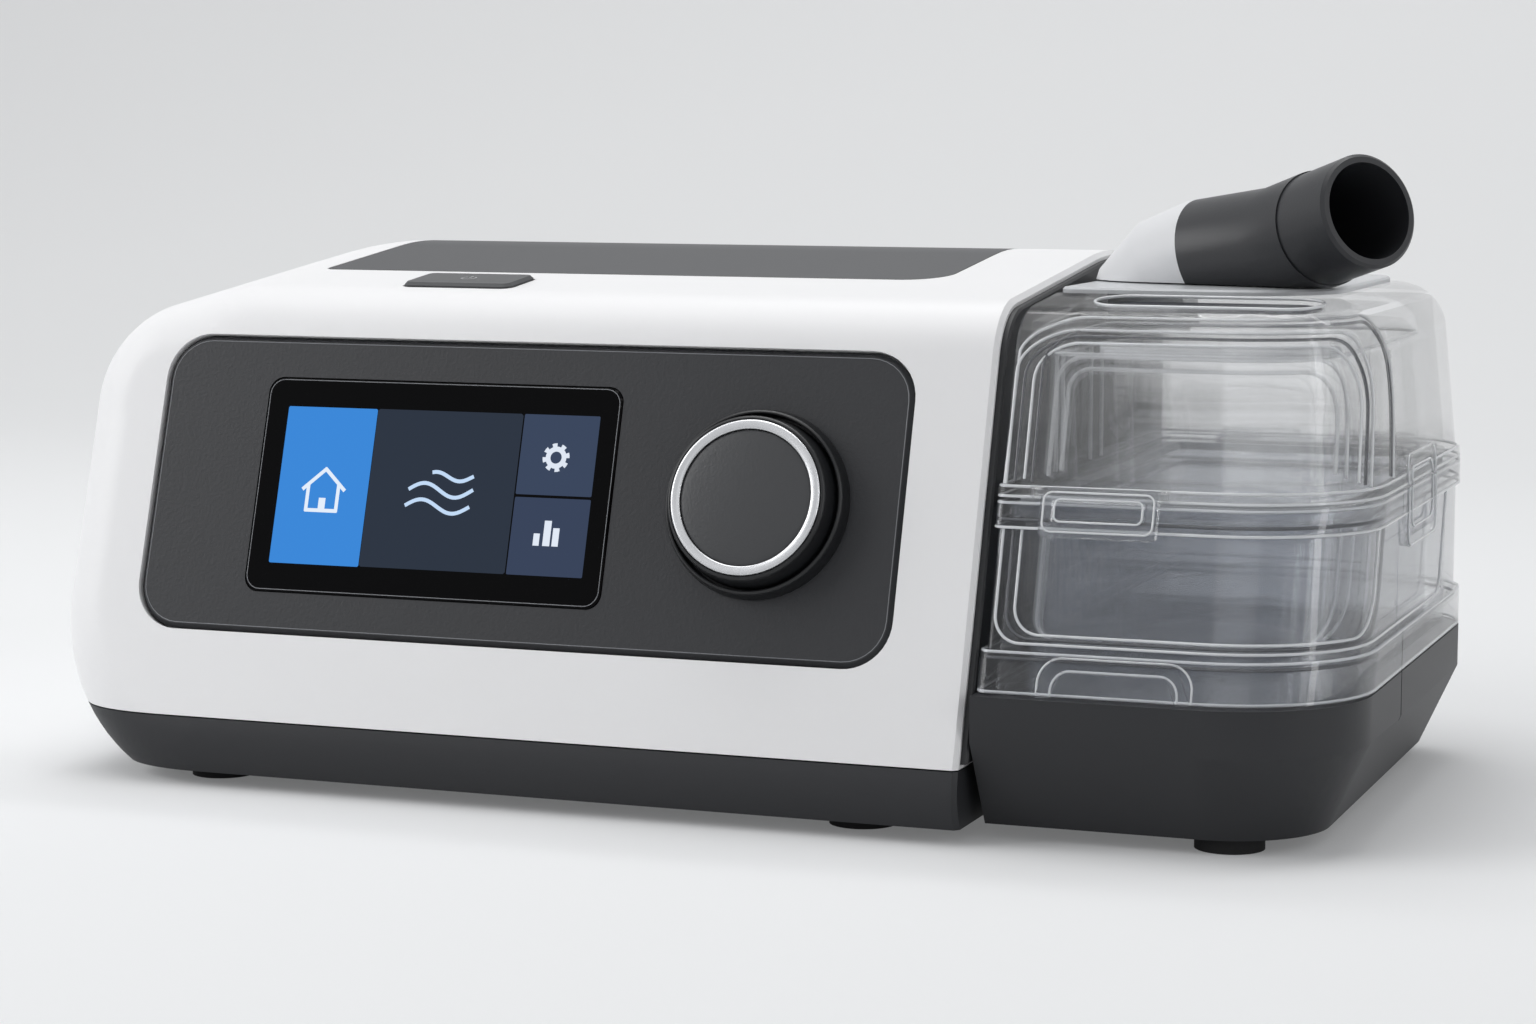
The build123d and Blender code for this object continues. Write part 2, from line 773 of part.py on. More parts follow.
with BuildPart() as blower_mounts:
    with BuildSketch(Plane.XY.offset(mount_top)):
        with Locations((blower_x, blower_y)):
            with PolarLocations(mount_spacing / 2, 3, start_angle=90):
                Rectangle(2 * mount_radius, 2 * mount_radius)
    extrude(amount=volute_floor - mount_top)
    chamfer(blower_mounts.edges().filter_by(Axis.Z), 1.5)
save(blower_mounts, "blower_mounts")

# Air duct from the blower's outlet up to the port beside the humidifier
duct_radius = port_radius + port_wall
duct_start = outlet_end + seat_gap
duct_end = body_right - case_wall - 4.0
duct_wall = 2.0


def duct_form(wall, overrun):
    """Duct climbing from the blower's outlet to the port, drawn in by wall and longer by overrun."""
    half = outlet_width / 2 - wall
    reach = duct_radius + 0.5 - wall
    with BuildPart() as form:
        with BuildSketch(Plane.XZ.offset(-port_y - half)):
            with BuildLine():
                Polyline(
                    (duct_start - overrun, volute_floor + wall), (duct_start - overrun, volute_top - wall),
                    (duct_end - wall, port_z + reach), (duct_end - wall, port_z - reach), close=True,
                )
            make_face()
        extrude(amount=2 * half)
    return form.part


with BuildPart() as air_duct:
    add(duct_form(0, 0))
    with BuildSketch(Plane.YZ.offset(duct_end - 1)):
        with Locations((port_y, port_z)):
            Circle(duct_radius)
    extrude(amount=body_right - duct_end + 1)
    add(duct_form(duct_wall, 1), mode=Mode.SUBTRACT)
    with BuildSketch(Plane.YZ.offset(duct_end - duct_wall - 1)):
        with Locations((port_y, port_z)):
            Circle(port_radius)
    extrude(amount=body_right - duct_end + duct_wall + 1, mode=Mode.SUBTRACT)
save(air_duct, "air_duct")

# Foam round the blower's inlet, and the main board
foam_side = 2 * volute_radius - 8
foam_thickness = 8.0
with BuildPart() as silencer_foam:
    with BuildSketch(Plane.XY.offset(volute_top)):
        with Locations((blower_x, blower_y)):
            Rectangle(foam_side, foam_side)
            RegularPolygon(inlet_radius + volute_wall, 12, mode=Mode.SUBTRACT)
    extrude(amount=foam_thickness)
save(silencer_foam, "silencer_foam")

capacitor_size = 9.0
capacitor_height = 12.0
chip_height = 2.5
with BuildPart() as main_board:
    with BuildSketch(Plane.XY.offset(board_top - board_thickness)):
        with Locations((main_board_x, main_board_y)):
            Rectangle(main_board_width, main_board_length)
    extrude(amount=board_thickness)
    with BuildSketch(Plane.XY.offset(board_top)):
        with Locations((main_board_left + main_board_width / 5, main_board_y + main_board_length / 4)):
            with GridLocations(0, 1.5 * capacitor_size, 1, 2):
                Rectangle(capacitor_size, capacitor_size)
    extrude(amount=capacitor_height)
    with BuildSketch(Plane.XY.offset(board_top)):
        with Locations((main_board_x, main_board_y - main_board_length / 5)):
            with GridLocations(main_board_width / 2.5, main_board_length / 5, 2, 2):
                Rectangle(capacitor_size + 3, capacitor_size + 3)
    extrude(amount=chip_height)
save(main_board, "main_board")

# Rear: power socket, and the filter with its slatted cover
with BuildPart() as power_inlet:
    with BuildSketch(Plane.XY.offset(board_top)):
        with Locations((inlet_x, rear_y - case_wall - 1.5 - inlet_size / 2 - 1)):
            Rectangle(inlet_size, inlet_size + 2)
    extrude(amount=2 * (inlet_z - board_top))
    with BuildSketch(Plane.XZ.offset(-rear_y + 0.3)):
        with Locations((inlet_x, inlet_z)):
            Circle(inlet_size / 2 - 0.8)
    extrude(amount=8)
    with BuildSketch(Plane.XZ.offset(-rear_y + 0.3)):
        with Locations((inlet_x, inlet_z)):
            Circle(jack_radius)
    extrude(amount=jack_depth, mode=Mode.SUBTRACT)
    with BuildSketch(Plane.XZ.offset(-rear_y + 2)):
        with Locations((inlet_x, inlet_z)):
            Circle(1.0)
    extrude(amount=jack_depth)
save(power_inlet, "power_inlet")

frame_front = rear_y - case_wall - seat_gap
with BuildPart() as filter_frame:
    with BuildSketch(Plane.XZ.offset(-frame_front)):
        with Locations((filter_x, filter_z)):
            Rectangle(filter_width + 6, filter_height + 6)
    extrude(amount=filter_depth + filter_wall)
    with BuildSketch(Plane.XZ.offset(-frame_front)):
        with Locations((filter_x, filter_z)):
            RectangleRounded(filter_width + 1, filter_height + 1, 3)
    extrude(amount=filter_depth, mode=Mode.SUBTRACT)
    with BuildSketch(Plane.XZ.offset(-frame_front)):
        with Locations((filter_x, filter_z)):
            with GridLocations(14, 0, 3, 1):
                Rectangle(11, filter_height - 6)
    extrude(amount=filter_depth + filter_wall, mode=Mode.SUBTRACT)
save(filter_frame, "filter_frame")

foam_depth = 6.0
with BuildPart() as inlet_filter:
    with BuildSketch(Plane.XZ.offset(-frame_front + filter_depth)):
        with Locations((filter_x, filter_z)):
            RectangleRounded(filter_width, filter_height, 3)
    extrude(amount=-foam_depth)
save(inlet_filter, "inlet_filter")

with BuildPart() as filter_cover:
    with BuildSketch(Plane.XZ.offset(-rear_y)):
        with Locations((filter_x, filter_z)):
            RectangleRounded(filter_width, filter_height, 3)
            with GridLocations(0, 3.6, 1, slat_count):
                Rectangle(filter_width - 10, 1.9, mode=Mode.SUBTRACT)
    extrude(amount=cover_thickness)
    with BuildSketch(Plane.XZ.offset(-rear_y + cover_thickness)):
        with Locations((filter_x, filter_z)):
            with GridLocations(filter_width - 3, 0, 2, 1):
                Rectangle(2, filter_height - 8)
    extrude(amount=rear_y - cover_thickness - frame_front + filter_depth - foam_depth)
save(filter_cover, "filter_cover")

# Black frame on the side that meets the humidifier, and the seal of the air port
dock_profile = side_profile(dock_margin)
with BuildPart() as dock_frame:
    with BuildSketch(Plane.YZ.offset(body_right)):
        with BuildLine():
            FilletPolyline(*dock_profile, radius=[rim_radius - dock_margin, crest_radius, rear_bevel])
            Line(dock_profile[-1], dock_profile[0])
        make_face()
        with Locations((port_y, port_z)):
            Circle(duct_radius + 3.3, mode=Mode.SUBTRACT)
    extrude(amount=dock_thickness)
    split(bisect_by=Plane.XY.offset(parting_height + 1), keep=Keep.TOP)
    chamfer(dock_frame.faces().sort_by(Axis.X)[-1].outer_wire().edges(), 0.4)
save(dock_frame, "dock_frame")

with BuildPart() as port_seal:
    with BuildSketch(Plane.YZ.offset(body_right)):
        with Locations((port_y, port_z)):
            Circle(duct_radius + 3.0)
            Circle(port_radius + 0.2, mode=Mode.SUBTRACT)
    extrude(amount=unit_gap - 0.2)
save(port_seal, "port_seal")

# Humidifier outlines: one rounded shape whose front leans with the blower unit, and whose lid also
# leans in at the right and the rear

def chamber_section(z, inset, front=None, left_inset=None, left_corner=chamber_left_corner):
    """Outline of the humidifier at height z, moved inwards by inset."""
    front = front_line(z, inset) if front is None else front
    sharp = max(left_corner - inset, 0.6) if left_corner else 0.0
    left = chamber_left + (inset if left_inset is None else left_inset)
    lean_back = math.tan(math.radians(lid_side_lean)) * max(z - lid_seam, 0)
    right = right_x - inset - lean_back
    rear = chamber_rear - inset - lean_back
    with BuildSketch(Plane.XY.offset(z)) as section:
        with BuildLine():
            FilletPolyline(
                (left, front), (right, front), (right, rear), (left, rear), close=True,
                radius=[sharp, max(chamber_corner - inset, 1), max(chamber_rear_corner - inset, 1), sharp],
            )
        make_face()
    return section.sketch


# Dark base of the humidifier, its cover plate and the heater
base_front = front_line(base_top) - 2.2
cover_plate_height = 2.0
cavity_top = bay_floor - 3.5
with BuildPart() as humidifier_base:
    add(chamber_section(base_crease, 0, base_front, left_corner=0.0))
    extrude(amount=base_top - base_crease)
    add(chamber_section(foot_height, base_toe, base_front + base_toe, 0.8, left_corner=0.0))
    add(chamber_section(base_crease, 0, base_front, left_corner=0.0))
    loft(ruled=True)
    add(chamber_section(bay_floor, base_wall, base_front + base_wall))
    extrude(amount=base_top, mode=Mode.SUBTRACT)
    add(chamber_section(foot_height, base_toe + 3, base_front + base_toe + 3, 3.8))
    extrude(amount=cavity_top - foot_height, mode=Mode.SUBTRACT)
    add(chamber_section(foot_height, base_toe + 1.5, base_front + base_toe + 1.5, 2.3))
    extrude(amount=cover_plate_height, mode=Mode.SUBTRACT)
    add(chamber_section(bay_floor, plate_margin + 6, base_front + 16))
    extrude(amount=-2, mode=Mode.SUBTRACT)
    with BuildSketch(Plane.XY.offset(foot_height - 1)):
        with Locations((right_x, seam_y)):
            Rectangle(2 * seam_depth, seam_width)
    extrude(amount=base_top, mode=Mode.SUBTRACT)
save(humidifier_base, "humidifier_base")

with BuildPart() as base_cover:
    add(chamber_section(foot_height, base_toe + 1.7, base_front + base_toe + 1.7, 2.5))
    extrude(amount=cover_plate_height)
save(base_cover, "base_cover")

with BuildPart() as heater_insulation:
    add(chamber_section(bay_floor - 2, plate_margin + 6.3, base_front + 16.3))
    extrude(amount=2)
save(heater_insulation, "heater_insulation")

with BuildPart() as heater_plate:
    add(chamber_section(bay_floor, plate_margin + 7, base_front + 17))
    extrude(amount=heater_thickness)
    chamfer(heater_plate.faces().sort_by(Axis.Z)[-1].edges(), 0.5)
save(heater_plate, "heater_plate")

# Clear outer wall of the water chamber: foot flange, wall, rim, and an inner ledge for the vessel
tub_bottom = base_top + seat_gap
tub_top = lid_seam - 0.3
rim_bottom = tub_top - rim_height - 0.2
ledge_top = rim_bottom + 1.6
ledge_bottom = ledge_top - 2.0
ledge_inset = flange_step + shell_wall + 1.8
lid_bottom = lid_seam + 0.1
latch_pivot_z = lid_bottom + 1.1
latch_plane = Plane(
    origin=(latch_x, front_line(latch_pivot_z, rim_step), latch_pivot_z),
    x_dir=(1, 0, 0),
    z_dir=(0, -math.cos(lean), math.sin(lean)),
)
latch_middle = latch_gap + latch_thickness / 2
latch_axis = latch_plane.from_local_coords((0, 0, latch_middle))
catch_width = latch_width - 2 * latch_frame - 0.8
hinge_y = rear_y - hinge_radius - 0.1
hinge_z = lid_seam - 0.1
hinge_middle = chamber_left + 34.3
knuckle_gap = 0.3


def ring(low, high, inset, margin=0.0, left_corner=chamber_left_corner):
    """Solid between two heights with the humidifier's leaning front."""
    with BuildPart() as solid:
        add(chamber_section(low - margin, inset, left_corner=left_corner))
        add(chamber_section(high + margin, inset, left_corner=left_corner))
        loft(ruled=True)
    return solid.part


def knuckles(places, low, high):
    """Hinge barrels along X with the arms that join them to the wall in front."""
    with BuildPart() as barrels:
        with BuildSketch(Plane.YZ.offset(hinge_middle)):
            with Locations((hinge_y, hinge_z)):
                Circle(hinge_radius)
            with BuildLine():
                Polyline(
                    (hinge_y, low), (hinge_y, high), (chamber_rear - 2.5, high), (chamber_rear - 2.5, low), close=True
                )
            make_face()
        extrude(amount=knuckle_length)
        with BuildSketch(Plane.YZ.offset(hinge_middle)):
            with Locations((hinge_y, hinge_z)):
                Circle(hinge_pin_radius + running_gap)
        extrude(amount=knuckle_length, mode=Mode.SUBTRACT)
    with BuildPart() as pair:
        for place in places:
            add(barrels.part.moved(Location((place, 0, 0))))
    return pair.part


grip_width = 28.8
grip_height = 7.0
grip_x = chamber_left + 26.1
with BuildPart() as grip_arch:
    with BuildSketch(Plane.XZ.offset(rear_y - 12.5)):
        with Locations((grip_x, tub_bottom + grip_height / 2)):
            Trapezoid(grip_width, grip_height, 68)
        with Locations((grip_x, tub_bottom + grip_height / 2 - 1.5)):
            Trapezoid(grip_width - 5, grip_height - 2, 68, mode=Mode.SUBTRACT)
    extrude(amount=12)
    add(ring(tub_bottom, tub_top, -1.0), mode=Mode.INTERSECT)
    add(ring(tub_bottom, tub_top, flange_step + 0.5, 0.1), mode=Mode.SUBTRACT)

with BuildPart() as clasp_frame:
    with BuildSketch(Plane.YZ.offset(right_x - 6)):
        with Locations((clasp_y, lid_seam - 3)):
            RectangleRounded(clasp_length, clasp_height, 3)
            RectangleRounded(clasp_length - 2 * clasp_rib, clasp_height - 2 * clasp_rib, 1, mode=Mode.SUBTRACT)
    extrude(amount=6 - flange_step + clasp_proud)

with BuildPart() as tub_shell:
    add(clasp_frame.part)
    split(bisect_by=Plane.XY.offset(tub_top), keep=Keep.BOTTOM)
    add(ring(tub_bottom, tub_bottom + flange_height - 0.3, 0.0))
    add(ring(tub_bottom, rim_bottom + 1, flange_step))
    add(ring(rim_bottom, tub_top, rim_step))
    add(grip_arch.part)
    add(ring(tub_bottom, ledge_bottom, flange_step + shell_wall, 0.01), mode=Mode.SUBTRACT)
    add(ring(ledge_bottom, ledge_top, ledge_inset, 0.01), mode=Mode.SUBTRACT)
    add(ring(ledge_top, tub_top + 1, rim_step + shell_wall + 0.2), mode=Mode.SUBTRACT)
    add(knuckles([-20.5, 12.5], hinge_z - hinge_radius, hinge_z - 0.2))
    with BuildSketch(latch_plane.offset(-1)):
        with Locations((0, -4.2)):
            Rectangle(catch_width, 1.8)
    extrude(amount=2.4)
    with BuildSketch(Plane.XY.offset(tub_bottom)):
        with Locations((right_x, seam_y)):
            Rectangle(2 * (flange_step + seam_depth), seam_width)
    extrude(amount=tub_top, mode=Mode.SUBTRACT)
save(tub_shell, "tub_shell")

# Inner water vessel with its metal floor plate and the seal round its rim
vessel_bottom = bay_floor + heater_thickness + 0.2 + plate_thickness
vessel_rim = ledge_top + 2.0
plate_inset = vessel_inset + plate_margin - 1
with BuildPart() as water_tub:
    add(ring(vessel_bottom, vessel_rim, vessel_inset, left_corner=vessel_corner))
    add(ring(ledge_top, vessel_rim, rim_step + shell_wall + 0.9))
    hollow = ring(vessel_bottom + vessel_floor, vessel_rim + 1, vessel_inset + vessel_wall, left_corner=vessel_corner)
    add(hollow, mode=Mode.SUBTRACT)
    add(chamber_section(vessel_bottom, plate_inset + 2))
    extrude(amount=vessel_floor, mode=Mode.SUBTRACT)
save(water_tub, "water_tub")

with BuildPart() as tub_heat_plate:
    add(chamber_section(vessel_bottom - plate_thickness, plate_inset))
    extrude(amount=plate_thickness)
save(tub_heat_plate, "tub_heat_plate")

with BuildPart() as tub_seal:
    add(ring(vessel_rim, vessel_rim + 1.5, 4.0))
    add(ring(vessel_rim, vessel_rim + 1.5, 6.0, 0.01), mode=Mode.SUBTRACT)
save(tub_seal, "tub_seal")

with BuildPart() as lid_hinge_pin:
    with BuildSketch(Plane.YZ.offset(hinge_middle - 22)):
        with Locations((hinge_y, hinge_z)):
            Circle(hinge_pin_radius)
    extrude(amount=44)
save(lid_hinge_pin, "lid_hinge_pin")

# Clear lid with its smoked top edge, port collar, hinge knuckles and a dished front
slope_start = -overall_depth / 2 + lid_flat_depth
lid_slope_rise = math.tan(math.radians(lid_slope))


def lid_form(low, inset, drop):
    """Closed form of the lid from height low, its top lowered by drop and sloped at the front."""
    with BuildPart() as form:
        add(chamber_section(low, inset, left_corner=0.0))
        add(chamber_section(lid_height + 4, inset, left_corner=0.0))
        loft(ruled=True)
        with BuildSketch(Plane.YZ):
            with BuildLine():
                Polyline(
                    (-90, lid_height - drop + lid_slope_rise * (-90 - slope_start)),
                    (slope_start, lid_height - drop),
                    (90, lid_height - drop),
                    (90, lid_height + 30),
                    (-90, lid_height + 30),
                    close=True,
                )
            make_face()
        extrude(amount=right_x + 20, mode=Mode.SUBTRACT)
    return form.part


def top_chain(form, limit):
    """Edges round the top of the lid, from its left wall round the front, right and rear."""
    tops = form.faces().filter_by(lambda f: f.normal_at().Z > 0.9)
    chain = ShapeList([e for f in tops for e in f.edges() if e.center().X > limit])
    return chain.filter_by(lambda e: abs(e.tangent_at(0.5).X) < 0.9 or abs(e.center().Y - slope_start) > 0.3)


lid_wall = 2.2
liner_flange_top = tub_top + 2.1
dish_y = slope_start - 8.5
dish_x = chamber_left + 34.0
dish_length = 43.5
dish_width = 13.0
dish_depth = 1.1
plate_left = chamber_left + 2.4
plate_right = right_x - 14.5
plate_front = slope_start + 0.4
plate_rear = chamber_rear - 12.0
dish_plane = Plane(
    origin=(dish_x, dish_y, lid_height + lid_slope_rise * (dish_y - slope_start)),
    x_dir=(1, 0, 0),
    z_dir=(0, -math.sin(math.radians(lid_slope)), math.cos(math.radians(lid_slope))),
)
port_face = chamber_left + flange_step
lean_in = math.radians(lid_side_lean)
lid_side = Plane(
    origin=(right_x - flange_step, seam_y, lid_seam), x_dir=(0, 1, 0), z_dir=(math.cos(lean_in), 0, math.sin(lean_in))
)
seam_top = lid_height - lid_edge_radius - lid_seam
with BuildPart() as inner_ledge:
    add(ring(liner_flange_top, liner_flange_top + 1.5, flange_step + 1))
    for z in (liner_flange_top - 0.01, liner_flange_top + 1.51):
        add(chamber_section(z, ledge_inset, left_inset=flange_step + lid_wall))
    loft(ruled=True, mode=Mode.SUBTRACT)

with BuildPart() as lid_clasp:
    add(clasp_frame.part)
    split(bisect_by=Plane.XY.offset(lid_bottom), keep=Keep.TOP)

with BuildPart() as chamber_lid:
    add(lid_form(lid_bottom, flange_step, 0.0))
    fillet(top_chain(chamber_lid, port_face + 0.2), lid_edge_radius)
    chamfer(chamber_lid.faces().filter_by(Plane.YZ).sort_by(Axis.X)[0].edges().sort_by(Axis.Z)[-2:], 0.8)
    add(ring(lid_bottom, lid_bottom + 2.2, rim_step))
    add(lid_clasp.part)
    add(lid_form(lid_bottom - 1, flange_step + lid_wall, lid_wall), mode=Mode.SUBTRACT)
    add(inner_ledge.part)
    with BuildSketch(lid_side.offset(-seam_depth)):
        with Locations((0, seam_top / 2)):
            Rectangle(seam_width, seam_top)
    extrude(amount=3, mode=Mode.SUBTRACT)
    with BuildSketch(dish_plane):
        SlotOverall(dish_length, dish_width)
    extrude(amount=-dish_depth, mode=Mode.SUBTRACT)
    with BuildSketch(Plane.YZ.offset(chamber_left + 0.25)):
        with Locations((port_y, port_z)):
            Circle(port_radius + 3)
    extrude(amount=flange_step + lid_wall - 0.25)
    with BuildSketch(Plane.YZ.offset(chamber_left)):
        with Locations((port_y, port_z)):
            Circle(port_radius)
    extrude(amount=vessel_inset, mode=Mode.SUBTRACT)
    with BuildSketch(Plane.XY.offset(lid_height - 4)):
        with Locations((elbow_x, elbow_y)):
            Circle(neck_radius + 0.06)
    extrude(amount=8, mode=Mode.SUBTRACT)
    add(knuckles([-12.2, 4.2], hinge_z + 0.2, hinge_z + hinge_radius))
    with BuildSketch(latch_plane.offset(-1)):
        with GridLocations(latch_width + 2.4, 0, 2, 1):
            Rectangle(1.6, 2.2)
    extrude(amount=latch_middle + 2.4)
    with BuildSketch(Plane.YZ.offset(latch_x - latch_width)):
        with Locations((latch_axis.Y, latch_axis.Z)):
            Circle(latch_pin_radius + running_gap)
    extrude(amount=2 * latch_width, mode=Mode.SUBTRACT)
save(chamber_lid, "chamber_lid")

# Inner dome of the lid, the grey plate on top and the gasket round the outlet
liner_left = flange_step + lid_wall + 0.2


def liner_form(low, high, inset, left_inset):
    """Solid of the liner's outline between two heights, square at the left where it meets the lid."""
    with BuildPart() as solid:
        add(chamber_section(low, inset, left_inset=left_inset, left_corner=0.0))
        add(chamber_section(high, inset, left_inset=left_inset, left_corner=0.0))
        loft(ruled=True)
    return solid.part


with BuildPart() as lid_liner:
    add(liner_form(tub_top + 0.6, liner_top, vessel_inset, liner_left))
    liner_rim = lid_liner.faces().sort_by(Axis.Z)[-1].edges()
    chamfer(liner_rim.filter_by(lambda e: e.center().X > chamber_left + liner_left + 0.1), 2.5)
    add(liner_form(tub_top + 0.6, liner_flange_top, flange_step + lid_wall + 0.2, liner_left))
    hollow = liner_form(tub_top, liner_top - liner_wall, vessel_inset + liner_wall, liner_left + liner_wall)
    add(hollow, mode=Mode.SUBTRACT)
    with BuildSketch(Plane.YZ.offset(chamber_left + liner_left - 1)):
        with Locations((port_y, port_z)):
            Circle(port_radius)
    extrude(amount=liner_wall + 2, mode=Mode.SUBTRACT)
    with BuildSketch(Plane.XY.offset(liner_top - liner_wall - 1)):
        with Locations((elbow_x, elbow_y)):
            Circle(neck_radius - neck_wall)
    extrude(amount=liner_wall + 2, mode=Mode.SUBTRACT)
save(lid_liner, "lid_liner")

with BuildPart() as outlet_plate:
    with BuildSketch(Plane.XY.offset(lid_height)):
        with BuildLine():
            FilletPolyline(
                (plate_left, plate_front), (plate_right, plate_front), (plate_right, plate_rear),
                (plate_left, plate_rear), close=True, radius=[3, plate_corner, 12, 3],
            )
        make_face()
    extrude(amount=plate_rise)
    chamfer(outlet_plate.faces().sort_by(Axis.Z)[-1].edges(), 0.4)
    with BuildSketch(Plane.XY.offset(lid_height)):
        with Locations((elbow_x, elbow_y)):
            Circle(neck_radius + 0.06)
    extrude(amount=plate_rise, mode=Mode.SUBTRACT)
save(outlet_plate, "outlet_plate")

with BuildPart() as outlet_gasket:
    with BuildSketch(Plane.XY.offset(liner_top)):
        with Locations((elbow_x, elbow_y)):
            Circle(neck_radius + 0.3)
            Circle(neck_radius - neck_wall, mode=Mode.SUBTRACT)
    extrude(amount=1.8)
save(outlet_gasket, "outlet_gasket")

# Outlet elbow: white cowl with its neck in the lid, and the dark sleeve with the hose spigot
foot_z = lid_height + plate_rise + seat_gap
elbow_wall = elbow_radius - spigot_bore
throat_line = math.radians(throat_heading)
throat_rise = math.radians(throat_tilt)


def elbow_point(reach, z):
    """Point above the line of the throat, reach from the swivel axis."""
    return Vector(elbow_x + reach * math.cos(throat_line), elbow_y - reach * math.sin(throat_line), z)


mouth_axis = Vector(1, 0, 0).rotate(Axis.Y, -mouth_tilt).rotate(Axis.Z, -mouth_heading)
kink = elbow_point(kink_reach, kink_height)
mouth = kink + mouth_axis * mouth_run
bend_x = kink_reach - throat_length * math.cos(throat_rise)
bend_z = kink_height - throat_length * math.sin(throat_rise)
bend_centre_x = bend_x + bend_radius * math.sin(throat_rise)
bend_centre_z = bend_z - bend_radius * math.cos(throat_rise)
bend_turns = [throat_rise + math.radians(step) for step in (0, 24, 48, 72)]


def elbow_tube(radius, floor, overrun):
    """Bent tube of the elbow, flat below at height floor, its mouth moved out by overrun."""
    tip = mouth + mouth_axis * overrun
    bend = [
        elbow_point(bend_centre_x - bend_radius * math.sin(t), bend_centre_z + bend_radius * math.cos(t))
        for t in bend_turns
    ]
    with BuildPart() as tube:
        with BuildLine() as path:
            Polyline(tip, kink, *bend)
        with BuildSketch(Plane(origin=tip, z_dir=mouth_axis)):
            Circle(radius)
        sweep(path=path.wire(), transition=Transition.RIGHT)
        split(bisect_by=Plane.XY.offset(floor), keep=Keep.TOP)
    return tube.part


elbow_outside = elbow_tube(elbow_radius, foot_z, 0.0)
elbow_bore = elbow_tube(spigot_bore, foot_z + elbow_wall, 2.0)
cut_low = elbow_point(15.0, foot_z)
cut_high = elbow_point(11.5, foot_z + 14.5)
cut_across = Vector(math.sin(throat_line), math.cos(throat_line), 0)
cut_plane = Plane(origin=cut_low, x_dir=cut_across, z_dir=cut_across.cross(cut_high - cut_low))
with BuildPart() as elbow_sleeve:
    add(elbow_outside)
    with BuildSketch(Plane(origin=mouth, z_dir=mouth_axis)):
        Circle(elbow_radius + 2)
        Circle(spigot_radius, mode=Mode.SUBTRACT)
    extrude(amount=-spigot_length, mode=Mode.SUBTRACT)
    chamfer(elbow_sleeve.faces().filter_by(GeomType.PLANE).sort_by(Axis.Z)[-1].edges(), spigot_bevel)
    add(elbow_bore, mode=Mode.SUBTRACT)
    with Locations((elbow_x, elbow_y, foot_z)):
        Cylinder(neck_radius - neck_wall, 6, mode=Mode.SUBTRACT)
    split(bisect_by=cut_plane, keep=Keep.TOP)
save(elbow_sleeve, "elbow_sleeve")

with BuildPart() as elbow_cowl:
    add(elbow_outside)
    add(elbow_bore, mode=Mode.SUBTRACT)
    with Locations((elbow_x, elbow_y, foot_z)):
        Cylinder(neck_radius - neck_wall, 6, mode=Mode.SUBTRACT)
    split(bisect_by=cut_plane, keep=Keep.BOTTOM)
    with BuildSketch(Plane.XY.offset(foot_z)):
        with Locations((elbow_x, elbow_y)):
            Circle(neck_radius)
            Circle(neck_radius - neck_wall, mode=Mode.SUBTRACT)
    extrude(amount=-neck_length)
save(elbow_cowl, "elbow_cowl")

# Front latch: a clear loop pivoted on the lid that hooks over a catch on the tub
with BuildPart() as front_latch:
    with BuildSketch(latch_plane.offset(latch_gap)):
        with Locations((0, latch_top - latch_height / 2)):
            RectangleRounded(latch_width, latch_height, 0.9)
        with Locations((0, -3.6)):
            Rectangle(latch_width - 2 * latch_frame, 3.8, mode=Mode.SUBTRACT)
    extrude(amount=latch_thickness)
    with BuildSketch(Plane.YZ.offset(latch_x - latch_width / 2 - 1.4)):
        with Locations((latch_axis.Y, latch_axis.Z)):
            Circle(latch_pin_radius)
    extrude(amount=latch_width + 2.8)
save(front_latch, "front_latch")
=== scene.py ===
import json
import math

import bmesh
import bpy
from mathutils import Matrix, Vector

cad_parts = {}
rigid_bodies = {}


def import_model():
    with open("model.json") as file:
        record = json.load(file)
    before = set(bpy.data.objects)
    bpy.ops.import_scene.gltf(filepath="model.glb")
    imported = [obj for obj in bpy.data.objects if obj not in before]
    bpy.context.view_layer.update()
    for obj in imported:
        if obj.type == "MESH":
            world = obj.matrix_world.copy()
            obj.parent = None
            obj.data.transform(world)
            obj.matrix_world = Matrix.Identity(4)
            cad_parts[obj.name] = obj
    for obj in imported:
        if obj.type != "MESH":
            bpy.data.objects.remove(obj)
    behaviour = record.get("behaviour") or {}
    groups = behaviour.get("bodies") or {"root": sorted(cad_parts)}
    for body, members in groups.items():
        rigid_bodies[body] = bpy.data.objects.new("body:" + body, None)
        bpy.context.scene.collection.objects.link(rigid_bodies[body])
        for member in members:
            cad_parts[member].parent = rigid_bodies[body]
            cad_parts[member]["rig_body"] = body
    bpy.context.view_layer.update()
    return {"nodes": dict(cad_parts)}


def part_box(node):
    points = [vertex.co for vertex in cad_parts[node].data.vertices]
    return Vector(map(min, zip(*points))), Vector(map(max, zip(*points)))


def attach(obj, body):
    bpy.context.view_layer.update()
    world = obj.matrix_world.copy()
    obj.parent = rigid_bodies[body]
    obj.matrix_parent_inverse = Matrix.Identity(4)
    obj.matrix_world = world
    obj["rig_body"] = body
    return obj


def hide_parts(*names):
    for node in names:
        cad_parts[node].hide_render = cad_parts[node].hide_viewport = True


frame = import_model()
scene = bpy.context.scene
nodes = frame["nodes"]

# Camera. The photograph was taken with a short telephoto lens, a little to the right of
# the front panel's own axis and a hand's breadth above the table. The panel's four corners
# and its known width fix the place, the turn and the focal length.
sensor_width = 36.0
focal_length = 79.7
camera_azimuth = math.radians(20.891)
camera_elevation = math.radians(6.699)
camera_place = Vector((0.2491, -0.6546, 0.1337))

